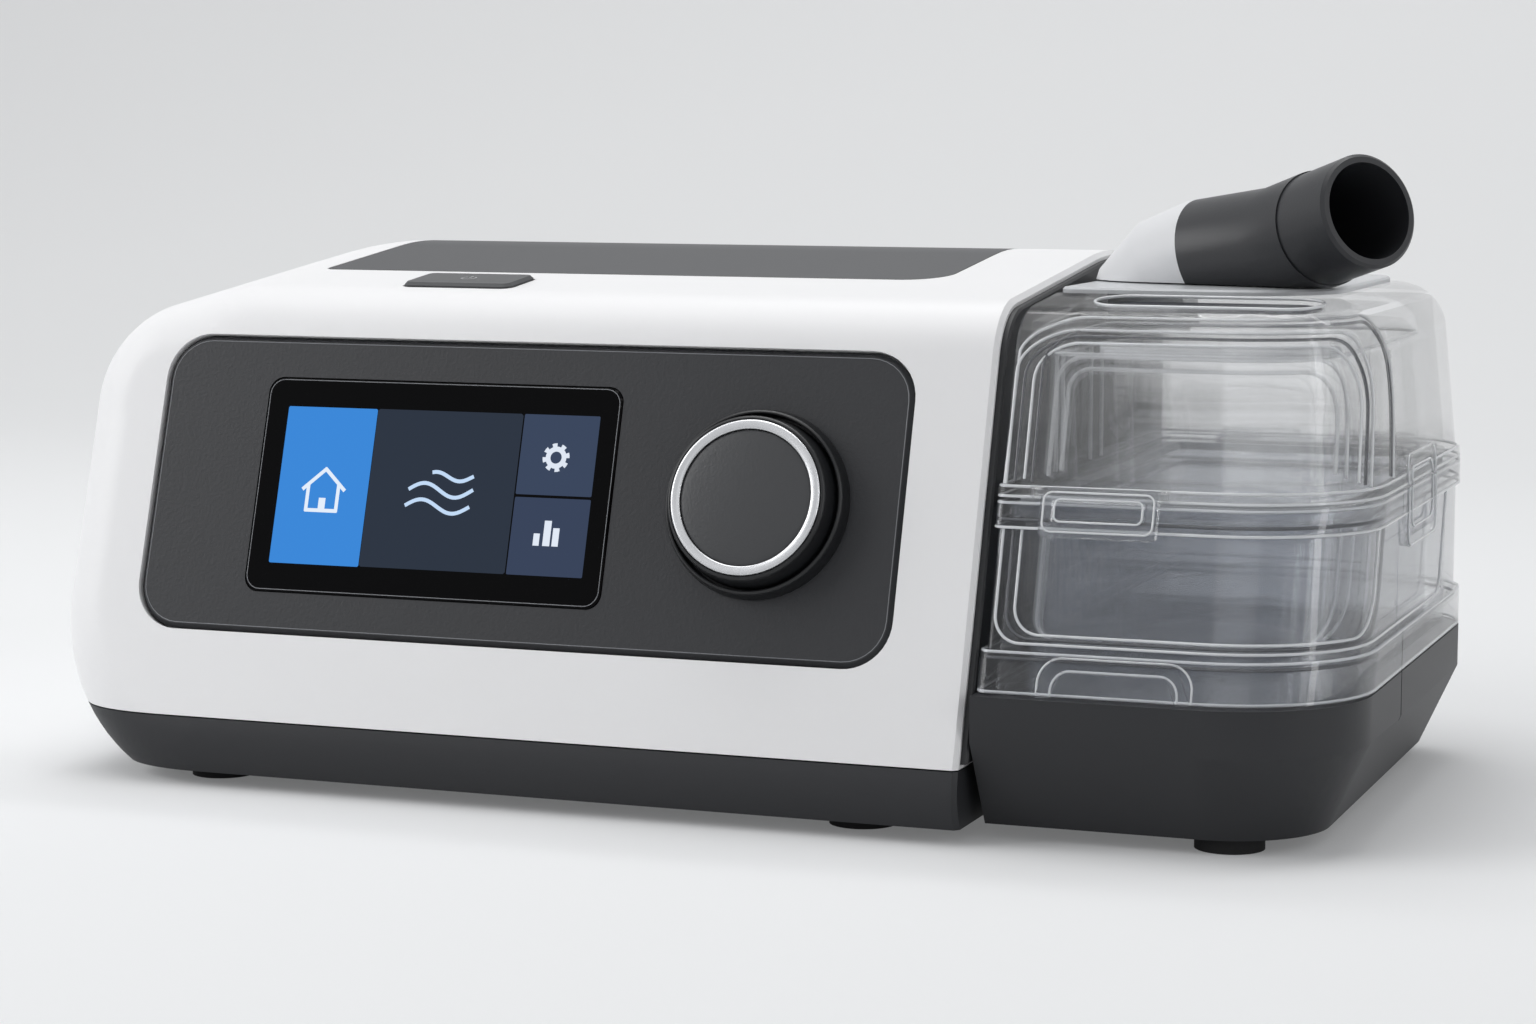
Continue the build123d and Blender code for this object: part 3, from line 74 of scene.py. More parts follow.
camera_data = bpy.data.cameras.new("studio_camera")
camera_data.sensor_width = sensor_width
camera_data.lens = focal_length
camera = bpy.data.objects.new("studio_camera", camera_data)
scene.collection.objects.link(camera)
towards = Vector((
    math.sin(camera_azimuth) * math.cos(camera_elevation),
    -math.cos(camera_azimuth) * math.cos(camera_elevation),
    math.sin(camera_elevation),
))
level = Vector((math.cos(camera_azimuth), math.sin(camera_azimuth), 0))
turn = Matrix((level, towards.cross(level), towards)).transposed().to_4x4()
camera.matrix_world = Matrix.Translation(camera_place) @ turn
scene.camera = camera

# Studio. A pale paper sweep lies under the machine and curves up behind it. Softboxes light
# it evenly, and only the machine's own soft shadow falls on it.
sweep_half_width = 2.6
sweep_front = -5.0
sweep_rear = 1.5
sweep_radius = 0.9
sweep_top = 2.4
sweep_turns = 16
paper_colour = "#ebeced"
fill_colour = "#f2f3f5"
fill_strength = 0.3
backdrop_colour = "#e2e3e5"
floor_glow = 0.17
backdrop_glow = 0.5
glow_grows_from = 0.25
glow_grows_to = 1.15


def linear(hex_colour):
    """An sRGB hex colour as the linear values that shader sockets take."""
    channels = [int(hex_colour[i:i + 2], 16) / 255 for i in (1, 3, 5)]
    return (*[c / 12.92 if c <= 0.04045 else ((c + 0.055) / 1.055) ** 2.4 for c in channels], 1.0)


def add_node(tree, kind, links=(), **settings):
    """Adds a node. Settings name its properties or its sockets, and links are (socket, output)."""
    node = tree.nodes.new(kind)
    for name, value in settings.items():
        if hasattr(node, name):
            setattr(node, name, value)
        else:
            node.inputs[name.replace("_", " ")].default_value = value
    for socket, output in links:
        tree.links.new(output, node.inputs[socket])
    return node


def blank_material(name):
    """A material with an empty node tree, and that tree."""
    material = bpy.data.materials.new(name)
    material.use_nodes = True
    material.node_tree.nodes.clear()
    return material, material.node_tree


def seen_directly(tree):
    """1 where a camera, glossy or transmission ray looks at the studio, and 0 for its light."""
    path = add_node(tree, "ShaderNodeLightPath")
    gloss = add_node(tree, "ShaderNodeMath", operation="ADD", use_clamp=True, links=(
        (0, path.outputs["Is Camera Ray"]), (1, path.outputs["Is Glossy Ray"])))
    return add_node(tree, "ShaderNodeMath", operation="ADD", use_clamp=True, links=(
        (0, gloss.outputs[0]), (1, path.outputs["Is Transmission Ray"])))


def softbox(name, place, target, width, height, power):
    """A rectangular softbox at a place, aimed at a target, with its power in watts."""
    data = bpy.data.lights.new(name, "AREA")
    data.shape = "RECTANGLE"
    data.size = width
    data.size_y = height
    data.energy = power
    lamp = bpy.data.objects.new(name, data)
    scene.collection.objects.link(lamp)
    lamp.location = place
    lamp.rotation_euler = (Vector(target) - Vector(place)).to_track_quat("-Z", "Y").to_euler()


sweep_profile = [(sweep_front, 0.0)]
for step in range(sweep_turns + 1):
    angle = math.pi / 2 * step / sweep_turns
    sweep_profile.append((
        sweep_rear - sweep_radius + sweep_radius * math.sin(angle),
        sweep_radius - sweep_radius * math.cos(angle),
    ))
sweep_profile.append((sweep_rear, sweep_top))
sweep_corners = [(x, y, z) for y, z in sweep_profile for x in (-sweep_half_width, sweep_half_width)]
sweep_strips = [(2 * i, 2 * i + 1, 2 * i + 3, 2 * i + 2) for i in range(len(sweep_profile) - 1)]
sweep_mesh = bpy.data.meshes.new("paper_sweep")
sweep_mesh.from_pydata(sweep_corners, [], sweep_strips)
sweep_mesh.shade_smooth()
sweep = bpy.data.objects.new("paper_sweep", sweep_mesh)
scene.collection.objects.link(sweep)

# Matt paper shows no highlight. Its glow, seen but not cast on the machine, keeps the
# backdrop as pale as in the photograph, and it is weak near the machine to leave the shadow.
paper, tree = blank_material("matt_studio_paper")
matt = add_node(tree, "ShaderNodeBsdfDiffuse", Color=linear(paper_colour))
glow = add_node(tree, "ShaderNodeEmission", Color=linear(paper_colour), Strength=1.0)
seen = seen_directly(tree)
place = add_node(tree, "ShaderNodeTexCoord")
distance = add_node(tree, "ShaderNodeVectorMath", operation="LENGTH", links=(
    (0, place.outputs["Object"]),))
growth = add_node(tree, "ShaderNodeMapRange", From_Min=glow_grows_from, From_Max=glow_grows_to,
                  To_Min=floor_glow, To_Max=backdrop_glow, links=(("Value", distance.outputs["Value"]),))
share = add_node(tree, "ShaderNodeMath", operation="MULTIPLY", links=(
    (0, seen.outputs[0]), (1, growth.outputs[0])))
mixed = add_node(tree, "ShaderNodeMixShader", links=(
    (0, share.outputs[0]), (1, matt.outputs[0]), (2, glow.outputs[0])))
add_node(tree, "ShaderNodeOutputMaterial", links=(("Surface", mixed.outputs[0]),))
sweep_mesh.materials.append(paper)

world = bpy.data.worlds.new("studio")
world.use_nodes = True
world.node_tree.nodes.clear()
tree = world.node_tree
fill = add_node(tree, "ShaderNodeBackground", Color=linear(fill_colour), Strength=fill_strength)
backdrop = add_node(tree, "ShaderNodeBackground", Color=linear(backdrop_colour), Strength=1.0)
seen = seen_directly(tree)
mixed = add_node(tree, "ShaderNodeMixShader", links=(
    (0, seen.outputs[0]), (1, fill.outputs[0]), (2, backdrop.outputs[0])))
add_node(tree, "ShaderNodeOutputWorld", links=(("Surface", mixed.outputs[0]),))
scene.world = world
scene.view_settings.view_transform = "Standard"

# The overhead box lights the whole machine and the left one its front. The front box fills
# the shade a little, and the two strips draw bright edges on the clear chamber and the elbow.
softbox("overhead_box", place=(-0.2, 0.12, 1.25), target=(0, 0, 0.05), width=1.3, height=0.9, power=8.8)
softbox("left_box", place=(-1.02, -0.58, 0.62), target=(-0.08, 0, 0.06), width=0.8, height=0.8, power=6.7)
softbox("front_box", place=(0.35, -1.5, 0.75), target=(0, 0, 0.06), width=1.0, height=0.7, power=0.8)
softbox("right_strip", place=(1.1, -0.25, 0.45), target=(0.1, 0, 0.06), width=0.12, height=0.9, power=1.6)
softbox("edge_strip", place=(0.1, 0.4, 0.9), target=(0.1, 0, 0.09), width=1.1, height=0.08, power=1.5)

# Housing. The upper half of the blower unit, moulded in white ABS. The mould is spark-eroded,
# which gives the shell a satin surface with an even grain.
merge_distance = 2e-6
shortest_edge = 1e-7
sharp_edge = math.radians(32)
clouds_per_metre = 55.0
mix_colour_a, mix_colour_b, mix_colour_out = 6, 7, 2


def smooth_copy(node):
    """A merged copy of a CAD node, smooth but for its edges, which takes the node's place."""
    source = nodes[node]
    mesh = source.data.copy()
    if "custom_normal" in mesh.attributes:
        mesh.attributes.remove(mesh.attributes["custom_normal"])
    work = bmesh.new()
    work.from_mesh(mesh)
    bmesh.ops.remove_doubles(work, verts=work.verts, dist=merge_distance)
    bmesh.ops.dissolve_degenerate(work, edges=work.edges, dist=shortest_edge)
    work.to_mesh(mesh)
    work.free()
    mesh.shade_smooth()
    mesh.set_sharp_from_angle(angle=sharp_edge)
    piece = bpy.data.objects.new(node + "_finished", mesh)
    scene.collection.objects.link(piece)
    weighted = piece.modifiers.new("weighted_normals", "WEIGHTED_NORMAL")
    weighted.keep_sharp = True
    mesh.materials.clear()
    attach(piece, source["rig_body"])
    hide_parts(node)
    return piece


def moulded(name, colour, roughness, grain_mm, depth_mm, patches=0.04):
    """A moulded plastic: its colour with faint patches, and a pitted grain pressed in by the mould.

    The patches are about 18 mm wide, as the melt leaves them. The grain of a real mould is only
    0.05 to 0.2 mm wide, and it is drawn coarser, so that it shows.
    """
    material, tree = blank_material(name)
    place = add_node(tree, "ShaderNodeTexCoord")
    cloud = add_node(tree, "ShaderNodeTexNoise", Scale=clouds_per_metre, Detail=3.0, links=(
        ("Vector", place.outputs["Object"]),))
    base = linear(colour)
    darker = tuple(c * (1 - patches) for c in base[:3]) + (1.0,)
    tint = add_node(tree, "ShaderNodeMix", data_type="RGBA", links=((0, cloud.outputs["Fac"]),))
    tint.inputs[mix_colour_a].default_value = darker
    tint.inputs[mix_colour_b].default_value = base
    grain = add_node(tree, "ShaderNodeTexNoise", Scale=1000.0 / grain_mm, Detail=2.0, links=(
        ("Vector", place.outputs["Object"]),))
    bump = add_node(tree, "ShaderNodeBump", Strength=1.0, Distance=depth_mm / 1000, links=(
        ("Height", grain.outputs["Fac"]),))
    skin = add_node(tree, "ShaderNodeBsdfPrincipled", Roughness=roughness, IOR=1.5, Specular_IOR_Level=0.4,
                    links=(("Base Color", tint.outputs[mix_colour_out]), ("Normal", bump.outputs[0])))
    add_node(tree, "ShaderNodeOutputMaterial", links=(("Surface", skin.outputs[0]),))
    return material


def finish_with(material, *pieces):
    """Puts one material on pieces or, by name, on CAD nodes."""
    for piece in pieces:
        mesh = (nodes[piece] if isinstance(piece, str) else piece).data
        mesh.materials.clear()
        mesh.materials.append(material)


# Satin ABS gives soft, wide highlights, with a grain so fine that it hardly shows.
white_abs = moulded("satin_white_moulded_abs", "#eeeeef", roughness=0.42, grain_mm=0.35, depth_mm=0.006,
                    patches=0.015)
finish_with(white_abs, smooth_copy("housing_shell"))

# Base tray and dock. The charcoal lower half of the blower unit, and the black frame that
# the humidifier stands against. Both are moulded in ABS with a grain that hides finger marks.
charcoal_abs = moulded("charcoal_moulded_abs", "#26272a", roughness=0.5, grain_mm=0.5, depth_mm=0.012)
finish_with(charcoal_abs, smooth_copy("base_tray"))
inner_black = moulded("black_inner_abs", "#222325", roughness=0.5, grain_mm=0.5, depth_mm=0.01)
finish_with(inner_black, "dock_frame")

# Humidifier base. The charcoal foot that holds the water chamber and its heater, moulded in
# ABS with a step and a rounded lower edge. It is a shade glossier than the tray.
base_abs = moulded("charcoal_moulded_abs_base", "#252629", roughness=0.46, grain_mm=0.5, depth_mm=0.012)
finish_with(base_abs, smooth_copy("humidifier_base"), smooth_copy("base_cover"))

# Front bezel and top panel. Dark ABS inlays let into the white housing with a thin shadow
# gap. Their deeper grain breaks up reflections, so that they look dry and even.
bezel_abs = moulded("textured_bezel_abs", "#28292c", roughness=0.5, grain_mm=0.7, depth_mm=0.06)
finish_with(bezel_abs, smooth_copy("front_bezel"))
top_abs = moulded("textured_top_abs", "#36373a", roughness=0.42, grain_mm=0.6, depth_mm=0.02)
finish_with(top_abs, smooth_copy("top_panel"))

# Display. A black printed glass stands a little proud of the bezel. Under it a colour screen
# shows four tiles with plain signs: a house, three waves of air, a cog and a small bar chart.
# A thin grey line round the glass and the bezel is a painted highlight.
panel_out = Vector((0, -0.95476, 0.29737))
panel_right = Vector((1, 0, 0))
panel_up = panel_out.cross(panel_right)
glass_centre = Vector((-0.0498, -0.0572082, 0.0598811))
stroke_width = 0.75
wave_steps = 24
sectors_per_tooth = 4
print_gap = 0.005
tile_rise = 0.03
sign_rise = 0.06
glass_corner = 0.003
bezel_corner = 0.0082
face_depth = 0.0002
edge_sink = 0.00005
edge_radius = 0.00010
corner_steps = 8
bead_sides = 8
same_place = 1e-6


def flat_pieces(name, outlines, centre, right, up, low, high):
    """Thin plates, given as outlines in millimetres on a face, between two heights above it."""
    out = right.cross(up)
    work = bmesh.new()
    for outline in outlines:
        corners = [work.verts.new(centre + (right * x + up * y + out * low) / 1000) for x, y in outline]
        face = work.faces.new(corners)
        top = bmesh.ops.extrude_face_region(work, geom=[face])["geom"]
        for vert in [v for v in top if isinstance(v, bmesh.types.BMVert)]:
            vert.co += out * (high - low) / 1000
    bmesh.ops.recalc_face_normals(work, faces=work.faces)
    mesh = bpy.data.meshes.new(name)
    work.to_mesh(mesh)
    work.free()
    piece = bpy.data.objects.new(name, mesh)
    scene.collection.objects.link(piece)
    return piece


def stroke(path, width):
    """Outlines of the short straight bars that draw a line of a given width through some points."""
    bars = []
    for (x0, y0), (x1, y1) in zip(path, path[1:]):
        run = math.hypot(x1 - x0, y1 - y0)
        ux, uy = (x1 - x0) / run, (y1 - y0) / run
        over = width * 0.32
        sx, sy = -uy * width / 2, ux * width / 2
        bars.append([
            (x0 - ux * over + sx, y0 - uy * over + sy), (x0 - ux * over - sx, y0 - uy * over - sy),
            (x1 + ux * over - sx, y1 + uy * over - sy), (x1 + ux * over + sx, y1 + uy * over + sy),
        ])
    return bars


def wave(middle, height, first, last, crest, length):
    """Points along one wave of air."""
    places = [first + (last - first) * i / wave_steps for i in range(wave_steps + 1)]
    return [(x, middle + height * math.cos(2 * math.pi * (x - crest) / length)) for x in places]


def cog(x, y, tip, root, bore, teeth):
    """Outlines of the sectors of a cog wheel with a round hole."""
    count = teeth * sectors_per_tooth
    sectors = []
    for i in range(count):
        outer = tip if i % sectors_per_tooth in (0, 1) else root
        start, end = (2 * math.pi * (i + j) / count for j in (0, 1))
        sectors.append([
            (x + reach * math.cos(turned_by), y + reach * math.sin(turned_by))
            for reach, turned_by in ((bore, start), (outer, start), (outer, end), (bore, end))
        ])
    return sectors


def block(x0, y0, x1, y1):
    """Outline of a rectangle with slightly cut corners."""
    cut = min(x1 - x0, y1 - y0) * 0.012
    return [
        (x0 + cut, y0), (x1 - cut, y0), (x1, y0 + cut), (x1, y1 - cut),
        (x1 - cut, y1), (x0 + cut, y1), (x0, y1 - cut), (x0, y0 + cut),
    ]


def uneven_gloss(name, colour, least, most, patch_mm, **settings):
    """A material whose roughness drifts in soft patches, as polish, grinding or handling leave it."""
    material, tree = blank_material(name)
    place = add_node(tree, "ShaderNodeTexCoord")
    film = add_node(tree, "ShaderNodeTexNoise", Scale=1000.0 / patch_mm, Detail=2.0, links=(
        ("Vector", place.outputs["Object"]),))
    drift = add_node(tree, "ShaderNodeMapRange", To_Min=least, To_Max=most, links=(
        ("Value", film.outputs["Fac"]),))
    skin = add_node(tree, "ShaderNodeBsdfPrincipled", Base_Color=linear(colour), **settings, links=(
        ("Roughness", drift.outputs[0]),))
    add_node(tree, "ShaderNodeOutputMaterial", links=(("Surface", skin.outputs[0]),))
    return material


def lit(name, colour):
    """The glossy front of the glass over a lit part of the screen, which glows in one even colour."""
    return uneven_gloss(name, "#05070a", least=0.1, most=0.14, patch_mm=25.0, Specular_IOR_Level=0.05,
                        Emission_Color=linear(colour), Emission_Strength=1.0)


def node_tree(name, inputs):
    """A Geometry Nodes tree with named inputs and one geometry output, and its input node."""
    tree = bpy.data.node_groups.new(name, "GeometryNodeTree")
    tree.interface.new_socket("Geometry", in_out="OUTPUT", socket_type="NodeSocketGeometry")
    for label, kind in inputs:
        tree.interface.new_socket(label, in_out="INPUT", socket_type=kind)
    return tree, add_node(tree, "NodeGroupInput")


def made_by(name, tree, given, shape, values):
    """Ends a tree in real geometry with its finish, and gives the result as a plain mesh object."""
    real = add_node(tree, "GeometryNodeRealizeInstances", links=(("Geometry", shape),))
    finish = add_node(tree, "GeometryNodeSetMaterial", links=(
        ("Geometry", real.outputs[0]), ("Material", given.outputs["Finish"])))
    add_node(tree, "NodeGroupOutput", links=((0, finish.outputs[0]),))
    piece = bpy.data.objects.new(name, bpy.data.meshes.new(name))
    scene.collection.objects.link(piece)
    modifier = piece.modifiers.new(name, "NODES")
    modifier.node_group = tree
    for item in tree.interface.items_tree:
        if item.in_out == "INPUT":
            modifier[item.identifier] = values[item.name]
    graph = bpy.context.evaluated_depsgraph_get()
    mesh = bpy.data.meshes.new_from_object(piece.evaluated_get(graph), depsgraph=graph)
    piece.modifiers.clear()
    piece.data = mesh
    return piece


def bead(name, lines, radius, body, material):
    """Round beads swept along some lines. A line that ends where it starts is closed."""
    curve = bpy.data.curves.new(name + "_path", "CURVE")
    curve.dimensions = "3D"
    for line in lines:
        closed = (line[0] - line[-1]).length < same_place
        points = line[:-1] if closed else line
        spline = curve.splines.new("POLY")
        spline.points.add(len(points) - 1)
        for point, corner in zip(spline.points, points):
            point.co = (*corner, 1.0)
        spline.use_cyclic_u = closed
    path = bpy.data.objects.new(name + "_path", curve)
    scene.collection.objects.link(path)
    tree, given = node_tree(name, (
        ("Path", "NodeSocketObject"), ("Radius", "NodeSocketFloat"), ("Finish", "NodeSocketMaterial")))
    route = add_node(tree, "GeometryNodeObjectInfo", links=(("Object", given.outputs["Path"]),))
    section = add_node(tree, "GeometryNodeCurvePrimitiveCircle", Resolution=bead_sides, links=(
        ("Radius", given.outputs["Radius"]),))
    swept = add_node(tree, "GeometryNodeCurveToMesh", Fill_Caps=True, links=(
        ("Curve", route.outputs["Geometry"]), ("Profile Curve", section.outputs[0])))
    smooth = add_node(tree, "GeometryNodeSetShadeSmooth", links=(("Geometry", swept.outputs[0]),))
    piece = made_by(name, tree, given, smooth.outputs[0], {
        "Path": path, "Radius": radius, "Finish": material})
    bpy.data.objects.remove(path)
    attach(piece, body)


def outline_of(middle, across, up, width, height, radius):
    """A rounded rectangle's closed line on a face."""
    line = []
    for corner, (side_x, side_y) in enumerate(((1, 1), (-1, 1), (-1, -1), (1, -1))):
        for i in range(corner_steps + 1):
            t = math.radians(90 * corner + 90 * i / corner_steps)
            line.append(middle + across * (side_x * (width / 2 - radius) + radius * math.cos(t))
                        + up * (side_y * (height / 2 - radius) + radius * math.sin(t)))
    return line + [line[0].copy()]


# Glass printed black from behind is deep and dark, with a thin clean reflection.
glass_black = uneven_gloss("black_printed_glass", "#060607", least=0.09, most=0.13, patch_mm=25.0,
                           IOR=1.5, Specular_IOR_Level=0.06)
finish_with(glass_black, smooth_copy("display_glass"))

# The tiles' and signs' measures are millimetres from the middle of the glass.
glass_front = max(panel_out.dot(v.co - glass_centre) for v in nodes["display_glass"].data.vertices) * 1000
tiles = (
    ("home_tile", "#3a87d8", [block(-33.7, -16.0, -13.75, 15.9)]),
    ("air_tile", "#2b3340", [block(-13.65, -15.9, 18.1, 15.95)]),
    ("settings_tile", "#39455c", [block(18.4, 0.0, 34.5, 15.95)]),
    ("history_tile", "#374259", [block(18.4, -15.9, 34.5, -0.55)]),
)
house = stroke([(-28.1, -0.75), (-23.5, 3.35), (-19.0, -0.75)], stroke_width)
house += stroke([(-27.0, 0.0), (-27.0, -5.05), (-20.3, -5.05), (-20.3, 0.0)], stroke_width)
house.append(block(-24.35, -5.0, -22.85, -2.5))
waves = stroke(wave(2.85, 0.85, first=0.2, last=8.8, crest=0.9, length=10.2), stroke_width)
waves += stroke(wave(0.05, 1.35, first=-4.6, last=9.0, crest=-1.4, length=13.4), stroke_width)
waves += stroke(wave(-3.2, 1.3, first=-5.0, last=8.6, crest=-1.7, length=13.6), stroke_width)
wheel = cog(26.1, 7.5, tip=2.85, root=2.2, bore=1.2, teeth=8)
chart = [block(23.3, -10.0, 24.6, -7.6), block(25.35, -10.0, 26.85, -5.0), block(27.3, -10.0, 28.65, -6.4)]
signs = (
    ("house_sign", "#e4eefb", house), ("air_sign", "#c3dbf7", waves),
    ("cog_sign", "#dfe7f3", wheel), ("chart_sign", "#e1e9f5", chart),
)
for prints, low, high in ((tiles, print_gap, tile_rise), (signs, tile_rise + print_gap, sign_rise)):
    for name, colour, outlines in prints:
        lit_print = flat_pieces(name, outlines, glass_centre, panel_right, panel_up,
                                glass_front + low, glass_front + high)
        finish_with(lit(name + "_screen", colour), lit_print)
        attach(lit_print, "housing")

# The grey edge line is a painted highlight: a thin bright line, uneven in places.
edge_highlight = uneven_gloss("painted_highlight_glass_edge", "#77797d", least=0.12, most=0.3, patch_mm=17.0, IOR=1.5)
for node, name, radius, set_in, slot_name in (
    ("display_glass", "glass_edge", glass_corner, 0.0001, "display_glass"),
    ("front_bezel", "bezel_edge", bezel_corner, 0.0002, "bezel_abs"),
):
    spots = [vert.co - glass_centre for vert in nodes[node].data.vertices]
    rise = max(spot.dot(panel_out) for spot in spots)
    face = [spot for spot in spots if spot.dot(panel_out) > rise - face_depth]
    across = [spot.x for spot in face]
    upwards = [spot.dot(panel_up) for spot in face]
    middle = (glass_centre + panel_right * (min(across) + max(across)) / 2
              + panel_up * (min(upwards) + max(upwards)) / 2 + panel_out * (rise - edge_sink))
    line = outline_of(middle, panel_right, panel_up, max(across) - min(across) - 2 * set_in,
                      max(upwards) - min(upwards) - 2 * set_in, radius)
    bead(name, [line], edge_radius, "housing", edge_highlight)

# Dial. A fixed black collar, and a knob whose tapering black skirt carries a bright ring round
# a dark cap. The ring is aluminium turned on a lathe, and the cap has a soft coat.
dial_centre = Vector((0.0191, -0.0572082, 0.0598811))
dial_sides = 160
dial_sharp_edge = math.radians(34)


def turned(name, profile):
    """A piece turned round the dial's axis from a closed profile of radius and height, in millimetres."""
    across = panel_out.orthogonal().normalized()
    beside = panel_out.cross(across)
    work = bmesh.new()
    rings = []
    for radius, height in profile:
        middle = dial_centre + panel_out * height / 1000
        if radius == 0:
            rings.append([work.verts.new(middle)])
            continue
        rings.append([
            work.verts.new(middle + (across * math.cos(t) + beside * math.sin(t)) * radius / 1000)
            for t in (2 * math.pi * i / dial_sides for i in range(dial_sides))
        ])
    pairs = list(zip(rings, rings[1:]))
    if len(rings[0]) > 1:
        pairs.append((rings[-1], rings[0]))
    for low, high in pairs:
        for i in range(dial_sides):
            j = (i + 1) % dial_sides
            corners = [low[i % len(low)], low[j % len(low)], high[j % len(high)], high[i % len(high)]]
            work.faces.new(list(dict.fromkeys(corners)))
    bmesh.ops.recalc_face_normals(work, faces=work.faces)
    mesh = bpy.data.meshes.new(name)
    work.to_mesh(mesh)
    work.free()
    mesh.shade_smooth()
    mesh.set_sharp_from_angle(angle=dial_sharp_edge)
    piece = bpy.data.objects.new(name, mesh)
    scene.collection.objects.link(piece)
    return piece


collar = turned("turned_collar", [
    (17.02, 0.0), (18.4, 0.0), (18.4, 0.5), (18.32, 1.0), (17.95, 2.6), (17.8, 3.05), (17.6, 3.3),
    (17.35, 3.4), (17.12, 3.32), (17.02, 3.1),
])
skirt = turned("knob_skirt", [
    (0, 4.4), (12.4, 4.4), (12.4, 1.0), (16.45, 1.0), (16.58, 1.15), (16.5, 1.6), (15.93, 6.0), (15.85, 6.7),
    (15.7, 7.1), (15.48, 7.34), (15.25, 7.4), (15.08, 7.3), (15.0, 7.1), (15.0, 6.22), (0, 6.22),
])
bright_ring = turned("bright_ring", [
    (13.1, 6.25), (14.95, 6.25), (14.95, 7.4), (14.88, 7.6), (14.7, 7.76), (14.5, 7.8), (13.5, 7.68),
    (13.28, 7.62), (13.15, 7.5), (13.1, 7.3),
])
knob_cap = turned("knob_cap", [
    (0, 6.25), (13.04, 6.25), (13.04, 6.9), (12.95, 7.1), (12.75, 7.22), (12.4, 7.3), (11.0, 7.46),
    (9.5, 7.6), (8.0, 7.72), (6.0, 7.84), (4.0, 7.92), (2.0, 7.97), (0, 7.99),
])
for piece, node, body in (
    (collar, "dial_collar", "housing"), (skirt, "dial_skirt", "dial"), (bright_ring, "dial_ring", "dial"),
    (knob_cap, "dial_cap", "dial"),
):
    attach(piece, body)
    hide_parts(node)

# Smooth black ABS shows a narrow sheen, the soft coat a wide dull one with fine pits, and the
# turned metal bright and dark bands whose gloss varies with the cut.
dial_black = moulded("black_satin_dial_plastic", "#1b1c1e", roughness=0.34, grain_mm=0.4, depth_mm=0.004)
finish_with(dial_black, skirt, collar)
cap_coat = moulded("soft_touch_coat", "#3f4042", roughness=0.36, grain_mm=0.6, depth_mm=0.05)
finish_with(cap_coat, knob_cap)
ring_metal = uneven_gloss("turned_aluminium", "#c9cacc", least=0.23, most=0.31, patch_mm=1.5,
                          Metallic=1.0, Anisotropic=0.5)
finish_with(ring_metal, bright_ring)

# Start button. A grey moulded key with a bevelled edge, let into the top of the housing. Its
# standby sign is printed in pale ink that stands up a little.
button_out = Vector((0, -0.10453, 0.99452))
button_up = button_out.cross(panel_right)
button_centre = Vector((-0.054, -0.0306, 0.0994307))
sign_radius = 1.5
sign_gap = 80
sign_steps = 20
sign_width = 0.34
sign_low = 0.895
sign_high = 0.96

# Satin plastic is dull all over but for its bevel, and the dry ink has no highlight.
button_finish = moulded("satin_button_plastic", "#434446", roughness=0.42, grain_mm=0.35, depth_mm=0.004)
finish_with(button_finish, smooth_copy("start_button"))
turns = [math.radians(90 + sign_gap / 2 + (360 - sign_gap) * i / sign_steps) for i in range(sign_steps + 1)]
arc = stroke([(sign_radius * math.cos(t), sign_radius * math.sin(t)) for t in turns], sign_width)
arc += stroke([(0, 0.5), (0, 2.0)], sign_width)
standby = flat_pieces("standby_sign", arc, button_centre, panel_right, button_up, sign_low, sign_high)
standby_ink = uneven_gloss("pale_printed_ink", "#b9babc", least=0.45, most=0.6, patch_mm=2.0)
finish_with(standby_ink, standby)
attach(standby, "start_key")

# Rear. A grey filter cover whose slots are closed by leaning slats, its filter, the frame
# behind it, and the round power socket with its pin. All but the filter are moulded in ABS.
slat_count = 8
slat_pitch = 0.0036
slat_set_in = 0.0014
slat_half_length = 19.6
slat_half_width = 0.9
slat_half_thickness = 0.3
slat_along = Vector((-1, 0, 0))
slat_up = Vector((0, 0.5, 0.866))


def repeated_row(name, source, first, step, count, material):
    """A row of copies of one small piece."""
    tree, given = node_tree(name, (
        ("Piece", "NodeSocketObject"), ("Finish", "NodeSocketMaterial"), ("Count", "NodeSocketInt"),
        ("First", "NodeSocketVector"), ("Step", "NodeSocketVector")))
    line = add_node(tree, "GeometryNodeMeshLine", links=(
        ("Count", given.outputs["Count"]), ("Start Location", given.outputs["First"]),
        ("Offset", given.outputs["Step"])))
    shape = add_node(tree, "GeometryNodeObjectInfo", links=(("Object", given.outputs["Piece"]),))
    copies = add_node(tree, "GeometryNodeInstanceOnPoints", links=(
        ("Points", line.outputs["Mesh"]), ("Instance", shape.outputs["Geometry"])))
    row = made_by(name, tree, given, copies.outputs[0], {
        "Piece": source, "Finish": material, "Count": count, "First": first, "Step": step})
    bpy.data.objects.remove(source)
    return row


# Grained ABS is dull and even. The pressed fibre of the filter is matt and cloudy.
cover_finish = moulded("grey_filter_cover_abs", "#a5a7aa", roughness=0.5, grain_mm=0.5, depth_mm=0.01)
finish_with(cover_finish, smooth_copy("filter_cover"))
cover_low, cover_high = (Vector(corner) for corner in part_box("filter_cover"))
cover_middle = (cover_low + cover_high) / 2
slat_outline = [
    (-slat_half_length, -slat_half_width), (slat_half_length, -slat_half_width),
    (slat_half_length, slat_half_width), (-slat_half_length, slat_half_width),
]
slat = flat_pieces("one_slat", [slat_outline], Vector(), slat_along, slat_up,
                   -slat_half_thickness, slat_half_thickness)
lowest_slat = cover_middle.z - slat_pitch * (slat_count - 1) / 2
slats = repeated_row("filter_slats", slat, (cover_middle.x, cover_high.y - slat_set_in, lowest_slat),
                     (0, 0, slat_pitch), slat_count, cover_finish)
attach(slats, "filter_door")
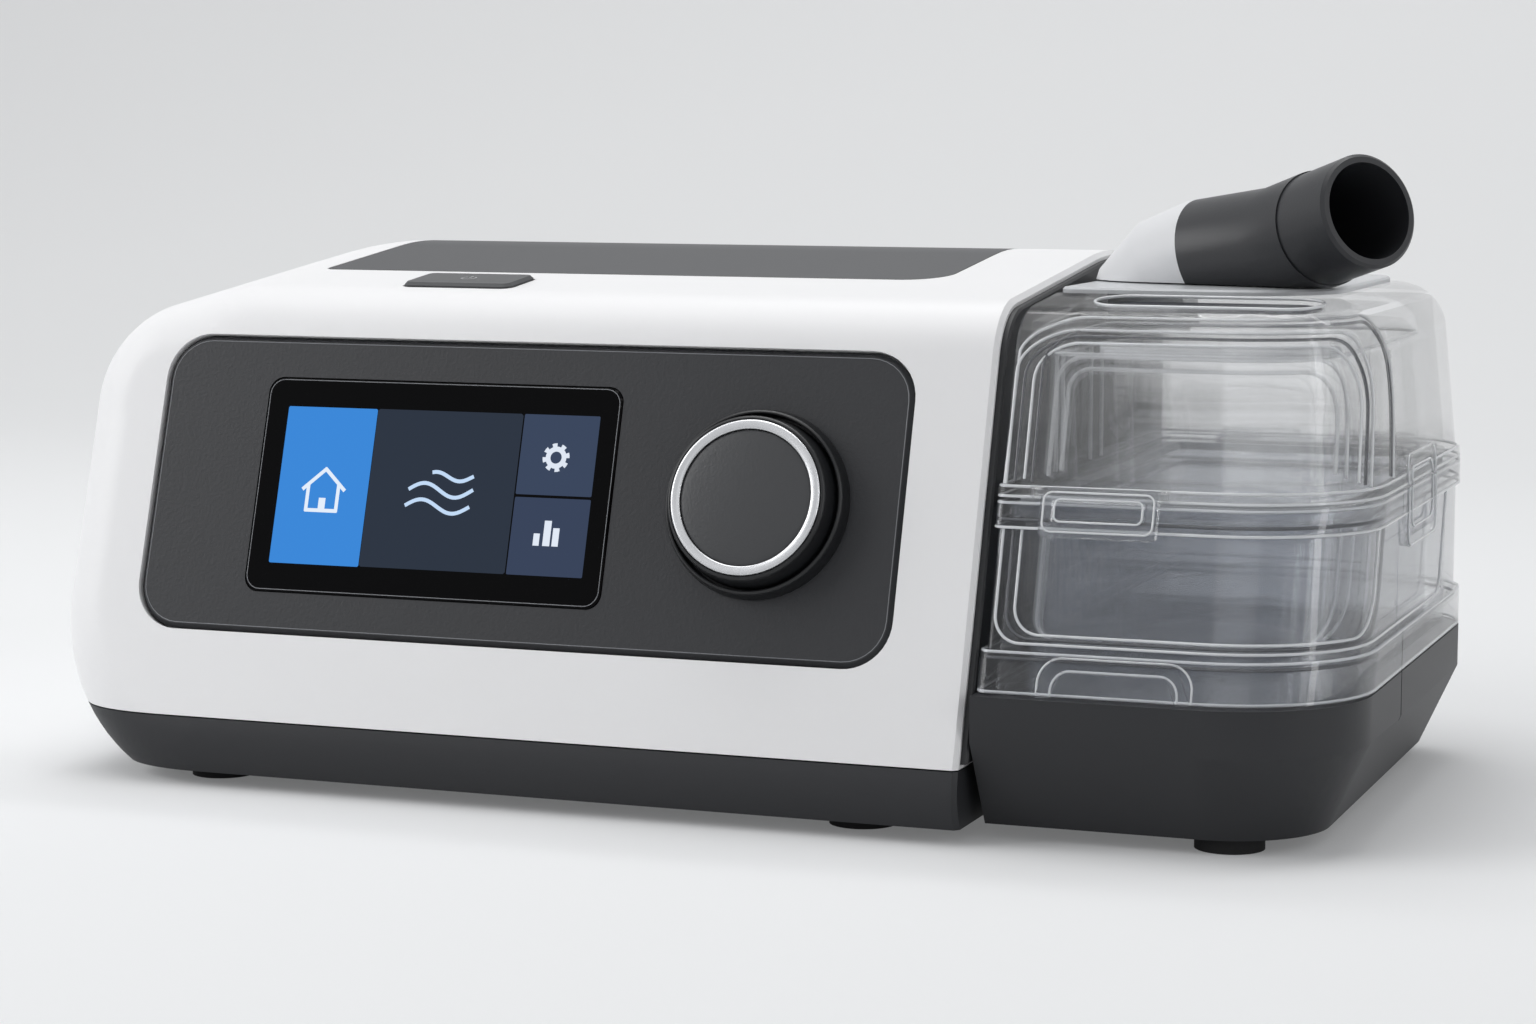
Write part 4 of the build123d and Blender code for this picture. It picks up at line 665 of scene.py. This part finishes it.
filter_fibre = moulded("white_filter_fibre", "#d9dcdd", roughness=0.95, grain_mm=0.8, depth_mm=0.25,
                       patches=0.12)
finish_with(filter_fibre, "inlet_filter")
finish_with(inner_black, "filter_frame", smooth_copy("power_inlet"))

# Feet and screws. Six rubber feet are pressed into the two bases, and four zinc-plated steel
# screws with a cross recess hold the tray from below. Rubber is dull and dusty in patches,
# and zinc plate is bright, but cloudy where it was handled.
foot_rubber = moulded("black_foot_rubber", "#1c1c1d", roughness=0.8, grain_mm=0.6, depth_mm=0.03,
                      patches=0.15)
finish_with(foot_rubber, smooth_copy("rubber_feet"))
screw_steel = uneven_gloss("zinc_plated_steel", "#a9abad", least=0.28, most=0.45, patch_mm=2.0, Metallic=1.0)
finish_with(screw_steel, "case_screws")

# Inside. The blower in its two grey halves, the motor, the white rotor on its steel shaft,
# the boards, seals and foam, and the parts behind the panel. They show only where something
# is opened.

# Grey ABS and the white rotor are dull and even, and ground steel is bright with fine swirls.
# The boards' green lacquer has a soft shine, silicone is waxy, and the foam is full of pores.
inner_grey = moulded("grey_inner_abs", "#8b8d90", roughness=0.55, grain_mm=0.5, depth_mm=0.01)
finish_with(inner_grey, "blower_lower_case", "blower_upper_case", "air_duct", "heater_insulation")
rotor_white = moulded("white_rotor_plastic", "#d8d8d4", roughness=0.45, grain_mm=0.5, depth_mm=0.006)
finish_with(rotor_white, "impeller")
steel = uneven_gloss("ground_steel", "#b8babc", least=0.22, most=0.38, patch_mm=3.0, Metallic=1.0)
finish_with(steel, "motor_shaft", "motor_bearings", "blower_motor", "lid_hinge_pin", "encoder_shaft",
            "encoder_nut", "encoder_plunger", "heater_plate", "tub_heat_plate")
board_green = moulded("green_circuit_board", "#2f6b46", roughness=0.45, grain_mm=1.2, depth_mm=0.02,
                      patches=0.1)
finish_with(board_green, "main_board", "control_board", "button_switch")
finish_with(inner_black, "encoder_body", "display_module")
seal_silicone = moulded("grey_silicone", "#a2a5a8", roughness=0.6, grain_mm=0.6, depth_mm=0.01)
finish_with(seal_silicone, "port_seal", "blower_mounts", "tub_seal", "outlet_gasket")
inlet_foam = moulded("open_cell_foam", "#3a3b3d", roughness=0.95, grain_mm=1.5, depth_mm=0.4, patches=0.3)
finish_with(inlet_foam, "silencer_foam")

# Tub and inner vessel. Both are injection moulded in clear polycarbonate, polished inside and
# out. Pale beads along the free edges and steps are painted highlights. All lengths here are in metres.
seam_height = 0.0642
front_at_seam = -0.05628
front_slope = 0.31147
front_cosine = 0.955
chamber_left = 0.0652
chamber_right = 0.1338
chamber_rear = 0.0665
front_right_round = 0.027
rear_right_round = 0.018
left_corner_round = 0.0025
tightest_left_round = 0.0006
tightest_right_round = 0.001
loop_corner_steps = 10
lid_lean = math.tan(math.radians(5))
lean_starts = 0.063
lid_round = 0.010
lid_round_starts = 0.0868
flange_foot, flange_top = 0.0286, 0.0357
rim_foot, rim_top = 0.0578, 0.0622
vessel_inset = 0.0072
vessel_left, vessel_right = chamber_left + 0.0076, chamber_right - 0.022
vessel_front, vessel_rear = -0.040, 0.0578
vessel_step_heights = (0.0372, 0.0392, 0.0470)
rib_places = (-0.0395, -0.0350, -0.0153, -0.0074)
fine_bead = 0.00030
shade_bead = 0.00034
grip_bead = 0.00023
vessel_bead = 0.00040
rib_bead = 0.00042
flow_marks_per_metre = 45.0


def clear_plastic(name, colour, roughness, body, clarity):
    """Clear moulded polycarbonate. Body is how much of the wall shows, clarity how glassy that part is.

    The faint unevenness of a moulded wall, about 22 mm from swell to swell, bends reflections a little.
    """
    material, tree = blank_material(name)
    place = add_node(tree, "ShaderNodeTexCoord")
    flow = add_node(tree, "ShaderNodeTexNoise", Scale=flow_marks_per_metre, Detail=1.0, links=(
        ("Vector", place.outputs["Object"]),))
    bump = add_node(tree, "ShaderNodeBump", Strength=0.3, Distance=0.00002, links=(
        ("Height", flow.outputs["Fac"]),))
    skin = add_node(tree, "ShaderNodeBsdfPrincipled", Base_Color=linear(colour), Roughness=roughness,
                    Transmission_Weight=clarity, IOR=1.5, Alpha=body, Coat_Weight=0.6, Coat_Roughness=0.02,
                    links=(("Normal", bump.outputs[0]),))
    add_node(tree, "ShaderNodeOutputMaterial", links=(("Surface", skin.outputs[0]),))
    return material


def front_wall(height, inset):
    """How far forward the leaning front wall is at a height, moved inwards."""
    return front_at_seam + front_slope * (height - seam_height) + inset / front_cosine


def loop(height, inset, corner=left_corner_round):
    """A closed line round the chamber at a height, moved inwards, with its rounded corners."""
    front = front_wall(height, inset)
    back = lid_lean * max(height - lean_starts, 0)
    left, right = chamber_left + inset, chamber_right - inset - back
    rear = chamber_rear - inset - back
    sharp = max(corner - inset, tightest_left_round)
    rounds = (
        (right, front, max(front_right_round - inset, tightest_right_round), -90),
        (right, rear, max(rear_right_round - inset, tightest_right_round), 0),
        (left, rear, sharp, 90), (left, front, sharp, 180),
    )
    line = []
    for x, y, radius, start in rounds:
        cx = x - radius if x == right else x + radius
        cy = y + radius if y == front else y - radius
        for i in range(loop_corner_steps + 1):
            t = math.radians(start + 90 * i / loop_corner_steps)
            line.append(Vector((cx + radius * math.cos(t), cy + radius * math.sin(t), height)))
    return line + [line[0].copy()]


def on_wall(share, height, inset):
    """Place on the chamber's wall, share metres along it from the front left edge, round to the right."""
    left = chamber_left + inset
    right = chamber_right - inset - lid_lean * max(height - lean_starts, 0)
    front = front_wall(height, inset)
    radius = max(front_right_round - inset, tightest_right_round)
    run = right - radius - left
    turn = max((share - run) / radius, 0.0)
    if turn == 0:
        return Vector((left + share, front, height))
    if turn < math.pi / 2:
        return Vector((
            right - radius + radius * math.sin(turn), front + radius - radius * math.cos(turn), height))
    return Vector((right, front + radius + share - run - radius * math.pi / 2, height))


def frame_line(left, right, foot, top, left_round, right_round, inset, open_below=True):
    """An arch on the wall between two upright legs, with rounded corners, or the same hung upside down."""
    crown = top if open_below else foot
    end = foot if open_below else top
    turn = 1 if open_below else -1
    left_steps, crown_steps, right_steps = 10, 30, 12
    flat = [(left, end), (left, crown - turn * left_round)]
    flat += [(left + left_round * (1 - math.cos(t)), crown - turn * left_round * (1 - math.sin(t)))
             for t in (math.pi / 2 * i / left_steps for i in range(1, left_steps + 1))]
    flat += [(left + left_round + (right - right_round - left - left_round) * i / crown_steps, crown)
             for i in range(1, crown_steps + 1)]
    flat += [(right - right_round * (1 - math.sin(t)), crown - turn * right_round * (1 - math.cos(t)))
             for t in (math.pi / 2 * i / right_steps for i in range(1, right_steps + 1))]
    flat.append((right, end))
    line = []
    for share, height in flat:
        rise = min(max(height - lid_round_starts, 0), lid_round * 0.98)
        sunk = lid_round - math.sqrt(lid_round ** 2 - rise ** 2)
        line.append(on_wall(share, height, inset + sunk))
    return line


# The tub's wall is clear with a cool cast. The vessel's is tinted grey, because through the
# walls it shows the dark base. Pale beads are painted highlights, and dark beads painted shade.
clear_tub = clear_plastic("clear_polycarbonate_tub", "#eef1f6", roughness=0.0, body=0.45, clarity=0.96)
finish_with(clear_tub, smooth_copy("tub_shell"))
clear_vessel = clear_plastic("clear_polycarbonate_vessel", "#8a92a0", roughness=0.02, body=0.45, clarity=0.6)
finish_with(clear_vessel, smooth_copy("water_tub"))
# Pale, nearly opaque beads are painted highlights along the clear edges, steps and ribs.
painted_highlight_bead = uneven_gloss("painted_highlight_polycarbonate_bead", "#eef0f3", least=0.06, most=0.16, patch_mm=8.0,
                          IOR=1.58, Transmission_Weight=0.25, Alpha=0.94, Coat_Weight=0.5)
painted_shade_bead = uneven_gloss("painted_shade_polycarbonate_bead", "#4b4e55", least=0.1, most=0.2, patch_mm=8.0,
                          IOR=1.58, Transmission_Weight=0.3, Coat_Weight=0.5)

bead("tub_beads", [
    loop(flange_foot, inset=0.0003), loop(flange_top, inset=0.0004),
    loop(rim_foot, inset=0.0006), loop(rim_top, inset=0.0007),
    frame_line(left=0.0012, right=0.150, foot=0.0372, top=0.0575, left_round=0.005, right_round=0.004,
               inset=0.0012, open_below=False),
    frame_line(left=0.0045, right=0.079, foot=0.0388, top=0.0575, left_round=0.005, right_round=0.008,
               inset=0.0014, open_below=False),
], fine_bead, "chamber", painted_highlight_bead)
# Dark beads beside the pale ones are painted shade.
bead("tub_shade_lines", [
    loop(0.0345, inset=0.0012), loop(0.0592, inset=0.0010),
    frame_line(left=0.0026, right=0.084, foot=0.0380, top=0.0575, left_round=0.005, right_round=0.008,
               inset=0.0016, open_below=False),
], shade_bead, "chamber", painted_shade_bead)
vessel_steps = [
    [Vector((vessel_left, vessel_front, height)), Vector((vessel_left, vessel_rear, height)),
     Vector((vessel_right, vessel_rear, height))]
    for height in vessel_step_heights
]
bead("vessel_beads", [
    loop(0.0590, inset=0.0073, corner=0.0115),
    frame_line(left=0.0015, right=0.060, foot=0.0370, top=0.0580, left_round=0.004, right_round=0.010,
               inset=vessel_inset, open_below=False),
    *vessel_steps,
], vessel_bead, "chamber", painted_highlight_bead)
bead("vessel_ribs", [
    [Vector((chamber_left + vessel_inset, y, 0.0370)), Vector((chamber_left + vessel_inset, y, 0.0585))]
    for y in rib_places
], rib_bead, "chamber", painted_highlight_bead)
bead("grip_beads", [
    frame_line(left=0.0117, right=0.0405, foot=0.0284, top=0.0352, left_round=0.0045, right_round=0.0045,
               inset=0.0001),
    frame_line(left=0.0143, right=0.0379, foot=0.0284, top=0.0330, left_round=0.0035, right_round=0.0035,
               inset=0.0001),
], grip_bead, "chamber", painted_highlight_bead)

# Lid and its liner. The clear lid turns on a steel pin at the rear. Under it lies a thinner
# liner, and in its top a long shallow dish whose floor is darkened by a sheet of painted shade.
# Both are polished mouldings.
crown_start, crown_step, crown_points = 0.007, 0.0012, 41
crown_bead = 0.0012
dish_bead_radius = 0.00032
dish_up = Vector((0, 0.9954, 0.09585))
dish_edge_middle = Vector((0.0992, -0.0305, 0.09838))
dish_floor_middle = Vector((0.0992, -0.0305, 0.0983815))
dish_floor_low, dish_floor_high = -1.08, -0.98

# The lid's wall is almost colourless and the liner's thinner still, so that the pale backdrop
# shows through both and only edges and reflections tell where they are.
clear_lid = clear_plastic("clear_polycarbonate_lid", "#fcfdfe", roughness=0.0, body=0.28, clarity=0.9)
finish_with(clear_lid, smooth_copy("chamber_lid"))
clear_dome = clear_plastic("clear_polycarbonate_dome", "#fafbfd", roughness=0.0, body=0.15, clarity=0.9)
finish_with(clear_dome, smooth_copy("lid_liner"))
# The lid's and liner's pale beads below are painted highlights.
bead("lid_beads", [
    loop(0.0634, inset=0.0007), loop(0.0652, inset=0.0008),
    frame_line(left=0.0008, right=0.0735, foot=0.0655, top=0.0935, left_round=0.008, right_round=0.015,
               inset=0.0012),
    frame_line(left=0.0040, right=0.0690, foot=0.0665, top=0.0912, left_round=0.007, right_round=0.013,
               inset=0.0014),
    frame_line(left=0.0004, right=0.0900, foot=0.0655, top=0.0957, left_round=0.006, right_round=0.022,
               inset=0.0013),
], fine_bead, "lid", painted_highlight_bead)
# Dark beads beside the pale ones are painted shade.
bead("lid_shade_lines", [
    frame_line(left=0.0022, right=0.0712, foot=0.0660, top=0.0924, left_round=0.008, right_round=0.014,
               inset=0.0014),
    frame_line(left=0.0055, right=0.0880, foot=0.0660, top=0.0948, left_round=0.008, right_round=0.021,
               inset=0.0014),
], shade_bead, "lid", painted_shade_bead)
bead("dome_beads", [
    frame_line(left=0.0010, right=0.0615, foot=0.0665, top=0.0884, left_round=0.005, right_round=0.012,
               inset=vessel_inset),
    frame_line(left=0.0030, right=0.0570, foot=0.0675, top=0.0862, left_round=0.004, right_round=0.010,
               inset=0.0075),
    loop(0.0888, inset=0.0073),
], rib_bead, "lid", painted_highlight_bead)
# A wide pale bead along the liner's top front edge is a painted highlight band.
bead("dome_crown", [[
    on_wall(crown_start + crown_step * i, height=0.0893, inset=0.0088) for i in range(crown_points)
]], crown_bead, "lid", painted_highlight_bead)
bead("dome_ribs", [
    [Vector((chamber_left + vessel_inset, y, 0.0665)), Vector((chamber_left + vessel_inset, y, 0.0890))]
    for y in rib_places
], rib_bead, "lid", painted_highlight_bead)
bead("dish_bead", [
    outline_of(dish_edge_middle, panel_right, dish_up, width=0.0435, height=0.013, radius=0.0064),
], dish_bead_radius, "lid", painted_highlight_bead)

# The dish's dark translucent sheet is painted shade. It lets a quarter of what lies behind it
# through, and shines evenly.
dish_shade = uneven_gloss("painted_shade_dish_sheet", "#4c4e54", least=0.1, most=0.2, patch_mm=17.0,
                     IOR=1.5, Alpha=0.75)
dish_line = outline_of(dish_floor_middle, panel_right, dish_up, width=0.0425, height=0.0120, radius=0.0059)
dish_outline = [((point - dish_floor_middle).x * 1000, (point - dish_floor_middle).dot(dish_up) * 1000)
                for point in dish_line[:-1]]
dish_floor = flat_pieces("dish_floor", [dish_outline], dish_floor_middle, panel_right, dish_up,
                         dish_floor_low, dish_floor_high)
finish_with(dish_shade, dish_floor)
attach(dish_floor, "lid")

# Front latch and side clasp. They are moulded in clear polycarbonate and hold the lid to the
# tub. The latch turns on its pin, and the clasp's two halves belong to the tub and the lid.
latch_bead = 0.00022
clasp_bead = 0.00023
clasp_wall = 0.1335
clasp_middle = 0.006
clasp_round = 0.003
clasp_steps = 8
outer_clasp_width, inner_clasp_width = 0.0294, 0.0226


def clasp_line(width, end, seam, lean):
    """A U on the right-hand side of the chamber, from the seam to its rounded end and back."""
    turn = 1 if end > seam else -1
    flat = [(-width / 2, seam)]
    flat += [(-width / 2 + clasp_round * (1 - math.cos(t)), end - turn * clasp_round * (1 - math.sin(t)))
             for t in (math.pi / 2 * i / clasp_steps for i in range(clasp_steps + 1))]
    flat += [(-y, z) for y, z in reversed(flat)]
    return [Vector((clasp_wall - lean * (z - lean_starts), clasp_middle + y, z)) for y, z in flat]


# The latch is thicker than the walls, so more of it shows, and its edges catch the light.
clear_latch = clear_plastic("clear_polycarbonate_latch", "#eff1f4", roughness=0.0, body=0.7, clarity=1.0)
finish_with(clear_latch, smooth_copy("front_latch"))
latch_low, latch_high = (Vector(corner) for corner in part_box("front_latch"))
latch_middle = (latch_low + latch_high) / 2 + panel_out * 0.0008
# The latch's and clasps' pale beads below are painted highlights.
bead("latch_beads", [
    outline_of(latch_middle, panel_right, panel_up, width=0.0208, height=0.0074, radius=0.0016),
    outline_of(latch_middle + panel_up * 0.0003, panel_right, panel_up, width=0.0166, height=0.0042,
               radius=0.0012),
], latch_bead, "latch", painted_highlight_bead)
bead("lower_clasp_bead", [
    clasp_line(outer_clasp_width, end=0.0513, seam=0.0627, lean=0),
    clasp_line(inner_clasp_width, end=0.0546, seam=0.0627, lean=0),
], clasp_bead, "chamber", painted_highlight_bead)
bead("upper_clasp_bead", [
    clasp_line(outer_clasp_width, end=0.0688, seam=0.0633, lean=lid_lean),
    clasp_line(inner_clasp_width, end=0.0662, seam=0.0633, lean=lid_lean),
], clasp_bead, "lid", painted_highlight_bead)

# Outlet plate. A grey moulded plate on the lid, whose neck carries the elbow. Its mould is
# nearly polished, so the plate is smoother than the housing and has a tighter highlight.
plate_finish = moulded("grey_moulded_plate", "#c4c6c9", roughness=0.26, grain_mm=0.5, depth_mm=0.003)
finish_with(plate_finish, smooth_copy("outlet_plate"))

# Elbow. A white ABS cowl and a dark moulded rubber sleeve, which turn together on the plate's
# neck. The cowl has the housing's satin surface, with its white darkened as painted shade, and
# the rubber a soft sheen with a fine grain.
# Painted shade: the cowl's white is darker than the housing's, as if it lay in shade.
shaded_cowl_abs = moulded("satin_white_cowl_abs_painted_shade", "#dcdddf", roughness=0.4, grain_mm=0.35, depth_mm=0.006,
                   patches=0.015)
finish_with(shaded_cowl_abs, smooth_copy("elbow_cowl"))
sleeve_rubber = moulded("dark_moulded_rubber", "#2b2c2f", roughness=0.36, grain_mm=0.6, depth_mm=0.02)
finish_with(sleeve_rubber, smooth_copy("elbow_sleeve"))
